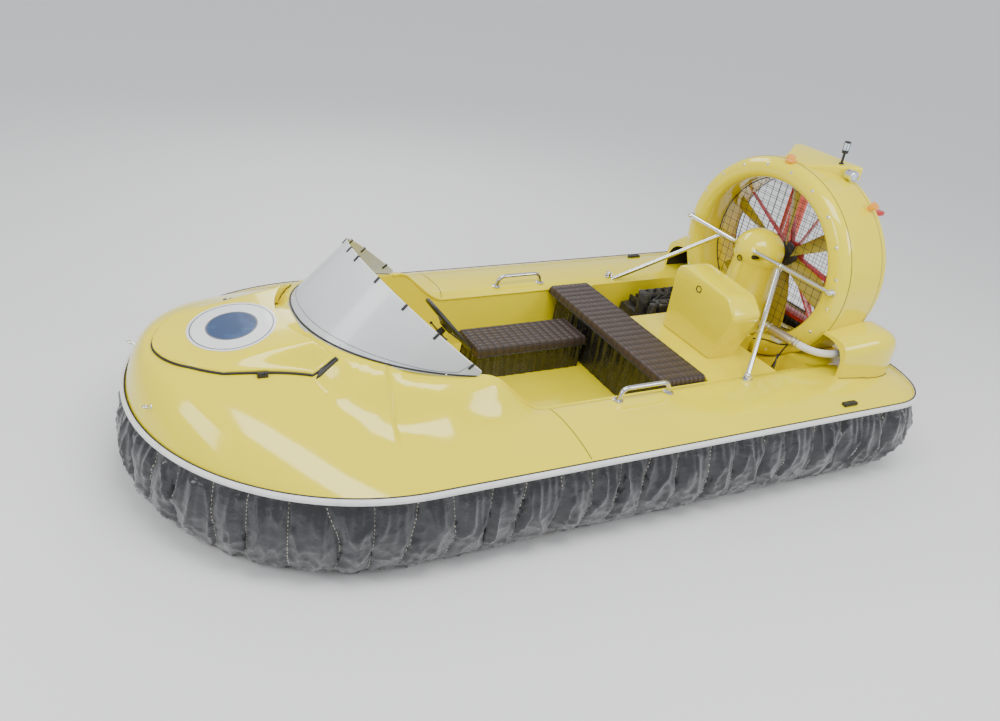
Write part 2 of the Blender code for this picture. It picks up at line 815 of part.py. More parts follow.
# Coarse wire guards
def guard(name, x, radius, pitch, wire, hole=0.0, rows=None):
    bm = bmesh.new()
    bars = []
    steps = int(radius / pitch) + 1
    for i in range(-steps, steps):
        c = (i + 0.5) * pitch
        if abs(c) < radius - 0.02:
            bars.append(c)
    half = wire / 2
    rings = []
    for i in range(48):
        a = 2 * math.pi * i / 48
        ring = []
        inner = radius - wire * 1.6
        for ox, r in ((-half, radius), (half, radius), (half, inner), (-half, inner)):
            ring.append((x + ox, r * math.cos(a), DUCT_Z + r * math.sin(a)))
        rings.append(ring)
    add_loft(bm, rings, ring_loop=True)
    made = finish(name, bm, BLACK, 0.5)
    for k, c in enumerate(bars):
        reach = math.sqrt(radius**2 - c**2) - wire * 0.8
        bm = bmesh.new()
        low = (x - half * 0.9, c - half, DUCT_Z - reach)
        add_box(bm, low, (x + half * 0.9, c + half, DUCT_Z + reach))
        boolean(made, cutter(f"{name}_up_{k}", bm), "UNION")
        bm = bmesh.new()
        low = (x - half * 0.8, -reach, DUCT_Z + c - half)
        add_box(bm, low, (x + half * 0.8, reach, DUCT_Z + c + half))
        boolean(made, cutter(f"{name}_over_{k}", bm), "UNION")
    return made


guard("guard_front", GUARD_X, DUCT_BORE - 0.0009, 0.110, 0.006)
guard("guard_rear", -1.766, 0.4662, 0.117, 0.006)


# Fan and stator
def blade_rings(root, tip, chord_root, chord_tip, pitch_root, pitch_tip, thick, sections=6):
    rings = []
    for i in range(sections + 1):
        t = i / sections
        r = root + (tip - root) * t
        chord = chord_root + (chord_tip - chord_root) * t
        pitch = math.radians(pitch_root + (pitch_tip - pitch_root) * t)
        ring = []
        shape = ((-0.5, 0.0), (-0.2, 0.5), (0.2, 0.5), (0.5, 0.0), (0.2, -0.5), (-0.2, -0.5))
        for u, v in shape:
            along = u * chord
            across = v * thick * (1 - 0.5 * t)
            x = along * math.sin(pitch) + across * math.cos(pitch)
            y = along * math.cos(pitch) - across * math.sin(pitch)
            ring.append(Vector((x, y, r)))
        rings.append(ring)
    return rings


def star(name, x, count, hub_radius, hub_low, hub_high, rings, colour, rough, start=0.0):
    bm = bmesh.new()
    add_cylinder(bm, (hub_low - x, 0, 0), (hub_high - x, 0, 0), hub_radius, 28)
    made = finish(name, bm, colour, rough)
    made.location = (x, 0.0, DUCT_Z)
    for i in range(count):
        turn = Matrix.Rotation(start + 2 * math.pi * i / count, 4, "X")
        bm = bmesh.new()
        add_loft(bm, [[turn @ p for p in ring] for ring in rings])
        blade = cutter(f"{name}_vane_{i}", bm)
        blade.location = (x, 0.0, DUCT_Z)
        boolean(made, blade, "UNION")
    return made


star(
    "fan",
    FAN_X,
    6,
    HUB_R,
    FAN_X - 0.022,
    FAN_X + 0.034,
    blade_rings(0.04, FAN_R, 0.085, 0.125, 52, 24, 0.012),
    (0.42, 0.36, 0.06),
    0.5,
    math.radians(8),
)
bm = bmesh.new()
add_cylinder(bm, (FAN_X + 0.02, 0, DUCT_Z), (BEARING_X - GAP, 0, DUCT_Z), 0.020, 16)
boolean(bpy.data.objects["fan"], cutter("fan_shaft_form", bm), "UNION")
star(
    "stator",
    STATOR_X,
    9,
    0.07,
    STATOR_X - 0.022,
    STATOR_X + 0.022,
    blade_rings(0.03, 0.4535, 0.050, 0.050, 80, 80, 0.008, 1),
    RED,
    0.4,
    math.radians(20),
)

# Side pods at the foot of the duct: x, outer face, height
POD = (
    (-1.480, 0.690, 0.668),
    (-1.600, 0.712, 0.690),
    (-1.740, 0.722, 0.712),
    (-1.830, 0.700, 0.690),
    (-1.885, 0.640, 0.620),
)
for name, side in (("pod_port", 1), ("pod_starboard", -1)):
    bm = bmesh.new()
    rings = []
    for x, out, tall in POD:
        base = 0.440
        outer = [(0.500, base), (out, base), (out, tall - 0.09), (out - 0.028, tall - 0.03)]
        outer += [(out - 0.09, tall), (0.500, tall)]
        rings.append([(x, side * y, z) for y, z in outer])
    add_loft(bm, rings)
    pod = finish(name, bm, YELLOW, 0.25)
    boolean(pod, duct_seat)
    boolean(pod, deck_seat)
    bm = bmesh.new()
    inner = [(0.44, 0.44), (0.672, 0.44), (0.672, 0.57), (0.645, 0.625), (0.59, 0.65), (0.44, 0.65)]
    add_prism(bm, [(side * y, z) for y, z in inner], -1.74, -1.2, "x")
    boolean(pod, cutter(name + "_mouth_form", bm))

# Fairing box on the duct's top, with the lights
FAIRING = (
    (-1.513, 0.075, 1.426),
    (-1.600, 0.125, 1.440),
    (-1.700, 0.195, 1.452),
    (-1.765, 0.215, 1.452),
)


def fairing_form(grow=0.0):
    bm = bmesh.new()
    rings = []
    for x, wide, tall in FAIRING:
        w = wide + grow
        z = tall + grow
        rings.append([(x, w, 1.30), (x, w, z), (x, -w, z), (x, -w, 1.30)])
    add_loft(bm, rings)
    return bm


boolean(finish("top_fairing", fairing_form(), YELLOW, 0.25), duct_seat)
fairing_seat = cutter("fairing_seat_form", fairing_form(GAP))

bm = bmesh.new()
add_cylinder(bm, (-1.690, 0.140, 1.440), (-1.690, 0.137, 1.515), 0.006, 12)
mast = finish("mast_light", bm, BLACK, 0.4)
bm = bmesh.new()
add_cylinder(bm, (-1.690, 0.1373, 1.508), (-1.690, 0.136, 1.575), 0.017, 16)
boolean(mast, cutter("mast_lamp_form", bm), "UNION")
boolean(mast, fairing_seat)

bm = bmesh.new()
beacon_z = DUCT_Z + DUCT_R + GAP
add_cylinder(bm, (-1.480, 0, beacon_z), (-1.480, 0, beacon_z + 0.037), 0.029, 20, 0.021)
finish("amber_beacon", bm, (0.8, 0.33, 0.01), 0.3)

bm = bmesh.new()
lamp_at = Vector((-1.690, 0.175, 1.4145))
add_cylinder(bm, lamp_at, lamp_at + Vector((0.0, 0.0675, 0.0)), 0.030, 24)
lamp = finish("round_lamp", bm, (0.7, 0.72, 0.75), 0.2, 0.8)
boolean(lamp, fairing_seat)
boolean(lamp, duct_seat)

# Rudders behind the duct and the bars that carry them
bars = (("rudder_bar_low", 0.492), ("rudder_bar_high", 1.245))
for name, z in bars:
    bm = bmesh.new()
    reach = math.sqrt(0.53**2 - (z - DUCT_Z) ** 2)
    add_box(bm, (-1.850, -reach, z - 0.012), (DUCT_END_X - GAP, reach, z + 0.012))
    finish(name, bm, RED, 0.4)
for name, y in (("rudder_port", 0.2), ("rudder_starboard", -0.2)):
    bm = bmesh.new()
    points = rounded_polygon([(-1.975, 0.53), (-1.806, 0.53), (-1.806, 1.205), (-1.975, 1.205)], 0.03)
    add_prism(bm, points, y - 0.009, y + 0.009, "y")
    rudder = finish(name, bm, (0.80, 0.10, 0.03), 0.4, origin=(-1.835, y, 0.86))
    bm = bmesh.new()
    add_cylinder(bm, (-1.835, y, 0.504 + GAP), (-1.835, y, 1.233 - GAP), 0.008, 12)
    boolean(rudder, cutter(name + "_pin_form", bm), "UNION")

# Stainless struts
for name, side in (("port", 1), ("starboard", -1)):
    bm = bmesh.new()
    add_cylinder(bm, (-1.340, 0.082 * side, 0.928), (-1.424, 0.521 * side, 0.894), 0.0150, 14)
    strut = finish("strut_ring_" + name, bm, (0.6, 0.6, 0.62), 0.2, 1.0)
    bm = bmesh.new()
    add_cylinder(bm, (-1.400, 0.523 * side, 0.893), (-1.4415, 0.523 * side, 0.893), 0.0120, 14)
    boolean(strut, cutter("strut_boss_form_" + name, bm), "UNION")
    bm = bmesh.new()
    add_cylinder(bm, (-0.960, 0.586 * side, 0.448), (-1.378, 0.228 * side, 0.889), 0.0150, 14)
    foot = finish("strut_foot_" + name, bm, (0.6, 0.6, 0.62), 0.2, 1.0)
    boolean(foot, deck_seat)

# Muffler pipe and the wrapped exhaust hose into the port pod
bm = bmesh.new()
add_cylinder(bm, (-1.345, 0.285, 0.575), (-1.375, 0.470, 0.575), 0.026, 18)
finish("muffler", bm, (0.45, 0.40, 0.30), 0.4, 0.6)
bm = bmesh.new()
turns = [(-1.3753, 0.4712, 0.575), (-1.39, 0.55, 0.573), (-1.46, 0.605, 0.573)]
path = rounded_path(turns + [(-1.7388, 0.612, 0.576)], 0.05)
add_loft(bm, tube_rings(path, 0.020, 12))
finish("exhaust_hose", bm, (0.75, 0.75, 0.72), 0.7)

# White bottle strapped under the muffler
bm = bmesh.new()
add_cylinder(bm, (-1.3664, 0.3244, 0.534), (-1.3776, 0.3936, 0.534), 0.0173, 32)
finish("white_bottle", bm, (0.75, 0.75, 0.72), 0.4)

# Side lamp at the duct's rear edge
bm = bmesh.new()
lamp_turn = math.radians(41.0)
lamp_out = Vector((0.0, math.sin(lamp_turn), math.cos(lamp_turn)))
lamp_foot = Vector((-1.703, 0.0, DUCT_Z)) + lamp_out * (DUCT_R - 0.010)
add_cylinder(bm, lamp_foot, lamp_foot + lamp_out * 0.050, 0.014, 18, 0.024)
boolean(finish("side_lamp", bm, (0.8, 0.33, 0.01), 0.3), duct_seat)

# Towing eyes: a stem and a ring each, square to the bow's slope
EYE_AT = (1.928, 0.247)
EYE_OUT = (0.80, 0.44, 0.40)
for name, side in (("tow_eye_port", 1), ("tow_eye_starboard", -1)):
    foot = Vector((EYE_AT[0], EYE_AT[1] * side, deck_z(*EYE_AT)))
    out = Vector((EYE_OUT[0], EYE_OUT[1] * side, EYE_OUT[2])).normalized()
    bm = bmesh.new()
    add_cylinder(bm, foot - out * 0.012, foot + out * 0.016, 0.0060, 14)
    eye = finish(name, bm, (0.7, 0.72, 0.75), 0.2, 1.0)
    across = out.cross(Vector((0.0, 0.0, 1.0))).normalized()
    middle = foot + out * 0.026
    ring = []
    for i in range(20):
        a = 2 * math.pi * i / 20
        ring.append(middle + (out * math.cos(a) + across * math.sin(a)) * 0.012)
    bm = bmesh.new()
    rows = []
    for i, point in enumerate(ring):
        arm = (point - middle).normalized()
        lift = arm.cross((ring[(i + 1) % 20] - ring[i - 1]).normalized())
        row = []
        for k in range(8):
            a = 2 * math.pi * k / 8
            row.append(point + (arm * math.cos(a) + lift * math.sin(a)) * 0.0042)
        rows.append(row)
    add_loft(bm, rows, caps=False, ring_loop=True)
    boolean(eye, cutter(name + "_ring_form", bm), "UNION")
    boolean(eye, deck_seat)

# Latches on the deck beside the bow lid
LATCH_X = 1.487
for name, side in (("lid_latch_port", 1), ("lid_latch_starboard", -1)):
    low = (lid_half(LATCH_X) + 0.007) * side
    high = low + 0.020 * side
    z = deck_z(LATCH_X, high)
    bm = bmesh.new()
    add_box(bm, (LATCH_X - 0.024, min(low, high), z - 0.020), (LATCH_X + 0.024, max(low, high), z + 0.026))
    boolean(finish(name, bm, BLACK, 0.5), deck_seat)

# Deck fittings
for name, side in (("stern_cleat_port", 1), ("stern_cleat_starboard", -1)):
    bm = bmesh.new()
    z = deck_z(-1.38, 0.86)
    add_box(bm, (-1.420, side * 0.852, z - 0.01), (-1.330, side * 0.878, z + 0.014))
    boolean(finish(name, bm, BLACK, 0.5), deck_seat)
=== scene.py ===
"""Looks of a small glass fibre hovercraft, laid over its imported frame. Bow along +X, port side +Y."""

import math

import bmesh
import bpy
from mathutils import Matrix, Vector, noise


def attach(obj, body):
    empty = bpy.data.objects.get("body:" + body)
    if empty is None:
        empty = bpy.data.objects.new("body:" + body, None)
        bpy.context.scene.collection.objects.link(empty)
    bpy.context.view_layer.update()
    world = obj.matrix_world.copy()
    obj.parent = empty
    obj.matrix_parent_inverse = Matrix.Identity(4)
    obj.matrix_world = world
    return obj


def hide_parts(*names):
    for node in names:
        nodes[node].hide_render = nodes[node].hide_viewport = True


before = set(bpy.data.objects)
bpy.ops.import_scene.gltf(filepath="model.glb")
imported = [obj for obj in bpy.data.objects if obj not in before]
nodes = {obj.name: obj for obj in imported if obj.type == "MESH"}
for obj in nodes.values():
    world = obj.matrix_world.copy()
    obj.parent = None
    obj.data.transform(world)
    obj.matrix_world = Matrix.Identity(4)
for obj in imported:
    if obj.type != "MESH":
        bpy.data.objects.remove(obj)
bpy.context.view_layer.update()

# Driving dimensions
BEAM_HALF = 0.9126
BOW_X = 1.997
BOW_LONG = 1.059
STERN_X = -2.0
CORNER_LONG = 0.34
CORNER_WIDE = 0.46
RAIL_Z = 0.433
RAIL_TALL = 0.024
RAIL_DEEP = 0.022
DECK_EDGE_Z = 0.437
DECK_CROWN = 0.043
FLOOR_Z = 0.18
HULL_BOTTOM_Z = 0.13
GAP = 0.0004

DUCT_Z = 0.856
DUCT_R = 0.567
DUCT_BORE = 0.452
DUCT_END_X = -1.774
DUCT_SEAM_X = -1.7165
FAN_X = -1.672
FAN_R = 0.440
STATOR_X = -1.735
GUARD_X = -1.606
HUB_R = 0.075

SCREEN_X = 0.539
SCREEN_LONG = 0.729
SCREEN_WIDE = 0.502
SCREEN_POWER = 2.192
SCREEN_Z = 0.664
SCREEN_SLOPE = 0.137
ARCH_TILT = math.radians(40.0)
ARCH_REACH = 0.60

SHOULDER_X = 0.995
LID_TOP_Z = 0.740
LID_TOP_X = 1.546
LID_SLOPE = 0.165

WHEEL_AT = (0.335, -0.215, 0.490)
WHEEL_R = 0.180
WHEEL_RAKE = math.radians(42.0)


def ease(t):
    """Smooth step from 0 to 1."""
    t = min(1.0, max(0.0, t))
    return t * t * (3.0 - 2.0 * t)


def half_width(x):
    """Half width of the rub rail's outline at x."""
    nose = BOW_X - BOW_LONG
    if x > nose:
        t = min(1.0, (x - nose) / BOW_LONG)
        return BEAM_HALF * math.sqrt(max(0.0, 1.0 - t * t))
    tail = STERN_X + CORNER_LONG
    if x < tail:
        t = min(1.0, (tail - x) / CORNER_LONG)
        flat = BEAM_HALF - CORNER_WIDE
        return flat + CORNER_WIDE * max(0.0, 1.0 - t**2.5) ** 0.4
    return BEAM_HALF


def outline(inset=0.0, bow_points=28, corner_points=14, side_points=9):
    """Closed plan outline, counter-clockwise, with outward normals."""
    nose = BOW_X - BOW_LONG
    tail = STERN_X + CORNER_LONG
    port = []
    for i in range(bow_points + 1):
        a = 0.5 * math.pi * i / bow_points
        port.append((nose + BOW_LONG * math.cos(a), BEAM_HALF * math.sin(a)))
    for i in range(1, side_points):
        port.append((nose + (tail - nose) * i / side_points, BEAM_HALF))
    for i in range(corner_points + 1):
        a = 0.5 * math.pi * i / corner_points
        s = math.sin(a) ** 0.8
        c = math.cos(a) ** 0.8
        port.append((tail - CORNER_LONG * s, BEAM_HALF - CORNER_WIDE + CORNER_WIDE * c))
    half = port + [(STERN_X, 0.225)]
    points = half + [(STERN_X, 0.0)] + [(x, -y) for x, y in reversed(half[1:])]
    points = [Vector((x, y)) for x, y in points]
    count = len(points)
    result = []
    for i in range(count):
        along = points[(i + 1) % count] - points[i - 1]
        normal = Vector((along.y, -along.x)).normalized()
        result.append((points[i] - normal * inset, normal))
    return result


def inboard(x, y):
    """Rough distance inboard of the rub rail, and the cosine of the bow angle."""
    nose = BOW_X - BOW_LONG
    tx = max(0.0, (x - nose) / BOW_LONG)
    ty = abs(y) / BEAM_HALF
    r = math.hypot(tx, ty)
    cosine = tx / r if r > 1e-9 else 1.0
    e = 0.95 * (1.0 - r)
    tail = STERN_X + CORNER_LONG
    if x < tail:
        sx = (tail - x) / CORNER_LONG
        sy = max(0.0, abs(y) - (BEAM_HALF - CORNER_WIDE)) / CORNER_WIDE
        e = min(e, 0.36 * (1.0 - (sx**2.5 + sy**2.5) ** 0.4))
    return max(0.0, e), cosine


def screen_half(x):
    """Half width of the windscreen's base line at x."""
    t = (x - SCREEN_X) / SCREEN_LONG
    if t <= 0.0:
        return SCREEN_WIDE
    if t >= 1.0:
        return 0.0
    return SCREEN_WIDE * (1.0 - t**SCREEN_POWER) ** (1.0 / SCREEN_POWER)


def screen_front(y):
    """x of the windscreen's base line at y."""
    t = min(1.0, abs(y) / SCREEN_WIDE)
    return SCREEN_X + SCREEN_LONG * (1.0 - t**SCREEN_POWER) ** (1.0 / SCREEN_POWER)


def cowl_z(x):
    """Height of the cowl edge that carries the windscreen and runs down to the coaming."""
    if x < 0.20:
        return 0.0
    if x < SCREEN_X:
        return 0.457 + (SCREEN_Z - 0.457) * ease((x - 0.20) / (SCREEN_X - 0.20))
    return SCREEN_Z + SCREEN_SLOPE * (x - SCREEN_X)


def deck_z(x, y):
    """Height of the deck moulding over the plan."""
    e, cosine = inboard(x, y)
    rise = 1.0 - (1.0 - min(1.0, e / 0.28)) ** 2
    z = DECK_EDGE_Z + DECK_CROWN * rise
    z -= 0.02 * ease((0.585 - abs(y)) / 0.05) * ease((0.6 - x) / 0.3)
    bow = ease((x - 0.15) / 0.75)
    if bow > 0.0:
        reach = 0.034 + 0.216 * (1.0 - cosine)
        tall = 0.241 * (0.22 + 0.78 * cosine**1.4)
        crown = tall * (1.0 - math.exp(-e / reach)) + 0.115 * e
        z = z * (1.0 - bow) + (DECK_EDGE_Z + crown) * bow
    top = cowl_z(x)
    if top > 0.0:
        if x < SCREEN_X + SCREEN_LONG:
            edge = screen_half(x) + 0.022
        else:
            edge = 0.022
        off = max(0.0, abs(y) - edge)
        front = max(0.0, x - (SCREEN_X + SCREEN_LONG))
        soft = 0.075 + 0.055 * ease((x - 0.35) / 0.45)
        fall = math.exp(-((off / soft) ** 1.7)) * math.exp(-((front / 0.25) ** 2))
        if top > z:
            z = z + (top - z) * fall
    if x > 1.2:
        z = min(z, LID_TOP_Z - LID_SLOPE * (x - LID_TOP_X) - 0.020)
    return z + shoulder(x, y)


def shoulder(x, y):
    """Bulge ahead of the crease beside the windscreen, and the hollow facet behind it."""
    side = abs(y)
    across = ease((side - 0.425) / 0.045) * ease((0.72 - side) / 0.15)
    back = SHOULDER_X + 0.04 * (side - 0.45) - x
    if across <= 0.0 or back < -0.42 or back > 0.52:
        return 0.0
    bulge = 0.014 * ease((back + 0.42) / 0.34) * ease(-back / 0.012)
    hollow = 0.034 * ease(back / 0.022) * (1.0 - back / 0.52)
    return across * (bulge - hollow)


# Bow hatch lid: a raised hood with sloping sides
LID_NOSE_X = 1.886
LID_REAR_HALF = 0.338
LID_CLEAR = 0.005


def lid_half(x):
    """Half width of the lid's edge at x."""
    t = min(1.0, max(0.0, (x - 1.21) / (LID_NOSE_X - 1.21)))
    return (LID_REAR_HALF - 0.075 * t) * (1.0 - t**7) ** 0.42


def lid_z(x, y):
    """Height of the lid's outer face: a level top, then sides down to the edge."""
    edge = max(lid_half(x), 0.001)
    front = max(0.0, LID_NOSE_X - x)
    top = LID_TOP_Z - LID_SLOPE * (x - LID_TOP_X) - 0.10 * y * y
    low = deck_z(x, y) + 0.018
    inside = min(edge - abs(y), front * 0.9)
    share = ease(inside / 0.082)
    return max(low, low + (top - low) * share)


# Windscreen: a wrapped sheet from its base line to an arch
def screen_point(a, t, out=0.0):
    """Point of the sheet: a goes from port tip over the top to starboard tip."""
    c = math.cos(a)
    s = max(0.0, math.sin(a))
    px = SCREEN_X + SCREEN_LONG * s ** (2 / SCREEN_POWER)
    py = SCREEN_WIDE * math.copysign(abs(c) ** (2 / SCREEN_POWER), c)
    low = Vector((px, py, cowl_z(px) - 0.010))
    high = Vector(
        (
            SCREEN_X + ARCH_REACH * s * math.cos(ARCH_TILT),
            SCREEN_WIDE * c,
            SCREEN_Z + 0.004 + ARCH_REACH * s * math.sin(ARCH_TILT),
        )
    )
    mid = low.lerp(high, t)
    outward = Vector((s * 0.6, c, 0.75 * s + 0.1)).normalized()
    return mid + outward * out


# Shared surface effects, each a node group
def effect_group(name, inputs, outputs):
    group = bpy.data.node_groups.new(name, "ShaderNodeTree")
    for label, value in inputs:
        socket = group.interface.new_socket(label, in_out="INPUT", socket_type="NodeSocketFloat")
        socket.default_value = value
    for label, kind in outputs:
        group.interface.new_socket(label, in_out="OUTPUT", socket_type=kind)
    source = group.nodes.new("NodeGroupInput")
    sink = group.nodes.new("NodeGroupOutput")
    return group, source, sink


def add_node(tree, kind, **settings):
    node = tree.nodes.new(kind)
    for key, value in settings.items():
        setattr(node, key, value)
    return node


def add_math(tree, operation, first, second=None, clamp=False):
    node = add_node(tree, "ShaderNodeMath", operation=operation, use_clamp=clamp)
    for index, value in enumerate((first, second)):
        if value is None:
            continue
        if isinstance(value, (int, float)):
            node.inputs[index].default_value = value
        else:
            tree.links.new(value, node.inputs[index])
    return node.outputs[0]


def ramp(tree, value, low, high, low_out=0.0, high_out=1.0):
    node = add_node(tree, "ShaderNodeMapRange")
    node.inputs["From Min"].default_value = low
    node.inputs["From Max"].default_value = high
    node.inputs["To Min"].default_value = low_out
    node.inputs["To Max"].default_value = high_out
    tree.links.new(value, node.inputs["Value"])
    return node.outputs["Result"]


def patchy_effect():
    """Broad cloudy mask for dust, fading and stains."""
    group, source, sink = effect_group(
        "cloudy_patches", [("Scale", 4.0), ("Spread", 0.5)], [("Mask", "NodeSocketFloat")]
    )
    place = add_node(group, "ShaderNodeTexCoord")
    cloud = add_node(group, "ShaderNodeTexNoise")
    cloud.inputs["Detail"].default_value = 5.0
    cloud.inputs["Roughness"].default_value = 0.62
    group.links.new(place.outputs["Object"], cloud.inputs["Vector"])
    group.links.new(source.outputs["Scale"], cloud.inputs["Scale"])
    shifted = add_math(group, "SUBTRACT", cloud.outputs[0], source.outputs["Spread"])
    wide = add_math(group, "MULTIPLY", shifted, 3.5, clamp=True)
    group.links.new(wide, sink.inputs["Mask"])
    return group


def ripple_effect():
    """Fine unevenness of a sprayed or moulded skin, as a height."""
    group, source, sink = effect_group(
        "skin_ripple", [("Scale", 60.0), ("Fine", 400.0)], [("Height", "NodeSocketFloat")]
    )
    place = add_node(group, "ShaderNodeTexCoord")
    broad = add_node(group, "ShaderNodeTexNoise")
    fine = add_node(group, "ShaderNodeTexNoise")
    for part, label in ((broad, "Scale"), (fine, "Fine")):
        group.links.new(place.outputs["Object"], part.inputs["Vector"])
        group.links.new(source.outputs[label], part.inputs["Scale"])
    small = add_math(group, "MULTIPLY", fine.outputs[0], 0.15)
    both = add_math(group, "ADD", broad.outputs[0], small)
    group.links.new(both, sink.inputs["Height"])
    return group


def grain_effect():
    """Pebbled grain of vinyl and moulded plastic, as a height."""
    group, source, sink = effect_group("vinyl_grain", [("Scale", 500.0)], [("Height", "NodeSocketFloat")])
    place = add_node(group, "ShaderNodeTexCoord")
    cells = add_node(group, "ShaderNodeTexVoronoi")
    group.links.new(place.outputs["Object"], cells.inputs["Vector"])
    group.links.new(source.outputs["Scale"], cells.inputs["Scale"])
    group.links.new(cells.outputs["Distance"], sink.inputs["Height"])
    return group


def scuff_effect():
    """Thin scattered scratches, as a mask."""
    group, source, sink = effect_group("scuffs", [("Scale", 9.0)], [("Mask", "NodeSocketFloat")])
    place = add_node(group, "ShaderNodeTexCoord")
    stretch = add_node(group, "ShaderNodeMapping")
    stretch.inputs["Scale"].default_value = (0.25, 2.2, 2.2)
    stretch.inputs["Rotation"].default_value = (0.3, 0.2, 0.5)
    streaks = add_node(group, "ShaderNodeTexNoise")
    streaks.inputs["Detail"].default_value = 8.0
    streaks.inputs["Roughness"].default_value = 0.75
    group.links.new(place.outputs["Object"], stretch.inputs["Vector"])
    group.links.new(stretch.outputs["Vector"], streaks.inputs["Vector"])
    group.links.new(source.outputs["Scale"], streaks.inputs["Scale"])
    group.links.new(ramp(group, streaks.outputs[0], 0.62, 0.70), sink.inputs["Mask"])
    return group


PATCHES = patchy_effect()
RIPPLE = ripple_effect()
GRAIN = grain_effect()
SCUFFS = scuff_effect()


def effect(tree, group, **values):
    node = add_node(tree, "ShaderNodeGroup", node_tree=group)
    for label, value in values.items():
        node.inputs[label].default_value = value
    return node.outputs[0]


def new_skin(name, colour, rough=0.4, metal=0.0, coat=0.0, specular=None):
    skin = bpy.data.materials.new(name)
    skin.use_nodes = True
    shader = skin.node_tree.nodes["Principled BSDF"]
    shader.inputs["Base Color"].default_value = (*colour, 1.0)
    shader.inputs["Roughness"].default_value = rough
    shader.inputs["Metallic"].default_value = metal
    shader.inputs["Coat Weight"].default_value = coat
    if specular is not None:
        shader.inputs["Specular IOR Level"].default_value = specular
    skin.diffuse_color = (*colour, 1.0)
    return skin, skin.node_tree, shader


def blend_colour(tree, mask, first, second):
    mix = add_node(tree, "ShaderNodeMix", data_type="RGBA")
    tree.links.new(mask, mix.inputs["Factor"])
    for socket, value in ((mix.inputs["A"], first), (mix.inputs["B"], second)):
        if isinstance(value, tuple):
            socket.default_value = (*value, 1.0)
        else:
            tree.links.new(value, socket)
    return mix.outputs["Result"]


def add_relief(tree, shader, height, depth, strength=1.0):
    bump = add_node(tree, "ShaderNodeBump")
    bump.inputs["Distance"].default_value = depth
    bump.inputs["Strength"].default_value = strength
    tree.links.new(height, bump.inputs["Height"])
    tree.links.new(bump.outputs["Normal"], shader.inputs["Normal"])


def worn_skin(name, colour, other, rough, high_rough, metal=0.0, coat=0.0, scale=5.0, relief=None, **more):
    """Skin whose colour and gloss drift in patches, with scuffs and a fine relief."""
    skin, tree, shader = new_skin(name, colour, rough, metal, coat, more.get("specular"))
    patches = effect(tree, PATCHES, Scale=scale, Spread=more.get("spread", 0.5))
    scuffs = effect(tree, SCUFFS, Scale=more.get("scuff_scale", 9.0))
    worn = add_math(tree, "MULTIPLY", scuffs, more.get("scuff", 0.4))
    both = add_math(tree, "ADD", add_math(tree, "MULTIPLY", patches, more.get("drift", 0.5)), worn, clamp=True)
    tree.links.new(blend_colour(tree, both, colour, other), shader.inputs["Base Color"])
    tree.links.new(ramp(tree, both, 0.0, 1.0, rough, high_rough), shader.inputs["Roughness"])
    if relief is not None:
        group, depth, values = relief
        add_relief(tree, shader, effect(tree, group, **values), depth)
    return skin


YELLOW = (0.88, 0.74, 0.004)
BLACK = (0.012, 0.012, 0.014)

gel_skin = worn_skin(
    "yellow_gel_coat", YELLOW, (0.80, 0.64, 0.012), 0.13, 0.27, coat=0.35, scale=2.2,
    relief=(RIPPLE, 0.0006, {"Scale": 9.0, "Fine": 90.0}), drift=0.5, scuff=0.14,
)
rail_skin = worn_skin(
    "white_rubbing_strip", (0.80, 0.80, 0.79), (0.50, 0.49, 0.46), 0.32, 0.55, scale=14.0, scuff=0.6
)
seam_skin = worn_skin(
    "black_sealing_strip", (0.012, 0.012, 0.013), (0.05, 0.048, 0.045), 0.42, 0.7, scale=20.0,
    relief=(GRAIN, 0.0003, {"Scale": 900.0}),
)
plastic_skin = worn_skin(
    "black_moulded_plastic", (0.016, 0.016, 0.018), (0.05, 0.05, 0.05), 0.34, 0.6, scale=18.0,
    relief=(GRAIN, 0.00025, {"Scale": 1400.0}), scuff=0.5,
)
skid_skin = worn_skin(
    "worn_skid", (0.62, 0.55, 0.30), (0.28, 0.24, 0.15), 0.5, 0.85, scale=7.0, drift=0.9,
    relief=(RIPPLE, 0.002, {"Scale": 40.0, "Fine": 260.0}),
)
steel_skin = worn_skin(
    "polished_stainless", (0.62, 0.62, 0.63), (0.42, 0.42, 0.43), 0.14, 0.34, metal=1.0, scale=16.0,
    relief=(RIPPLE, 0.00012, {"Scale": 200.0, "Fine": 1500.0}),
)
chrome_skin = worn_skin(
    "bright_chrome", (0.78, 0.79, 0.80), (0.55, 0.55, 0.56), 0.06, 0.2, metal=1.0, scale=30.0
)
engine_skin = worn_skin(
    "black_engine_paint", (0.02, 0.02, 0.022), (0.11, 0.10, 0.09), 0.45, 0.8, scale=24.0, drift=0.8,
    relief=(RIPPLE, 0.0015, {"Scale": 90.0, "Fine": 700.0}),
)
cast_skin = worn_skin(
    "cast_alloy", (0.40, 0.40, 0.41), (0.18, 0.17, 0.16), 0.4, 0.7, metal=0.85, scale=26.0, drift=0.8,
    relief=(RIPPLE, 0.0012, {"Scale": 160.0, "Fine": 1200.0}),
)
wire_skin = worn_skin("black_wire", (0.02, 0.02, 0.02), (0.10, 0.09, 0.08), 0.4, 0.7, scale=30.0)
blade_skin = worn_skin(
    "olive_blade", (0.47, 0.38, 0.035), (0.30, 0.23, 0.03), 0.36, 0.6, scale=8.0, drift=0.8,
    relief=(RIPPLE, 0.0006, {"Scale": 60.0, "Fine": 500.0}), coat=0.2,
)
red_skin = worn_skin(
    "red_paint", (0.55, 0.015, 0.012), (0.36, 0.012, 0.012), 0.26, 0.5, scale=9.0, coat=0.3,
    relief=(RIPPLE, 0.0004, {"Scale": 50.0, "Fine": 420.0}),
)
rudder_skin = worn_skin(
    "orange_red_paint", (0.80, 0.085, 0.018), (0.60, 0.055, 0.015), 0.28, 0.5, scale=5.0, coat=0.3,
    relief=(RIPPLE, 0.0004, {"Scale": 40.0, "Fine": 400.0}),
)
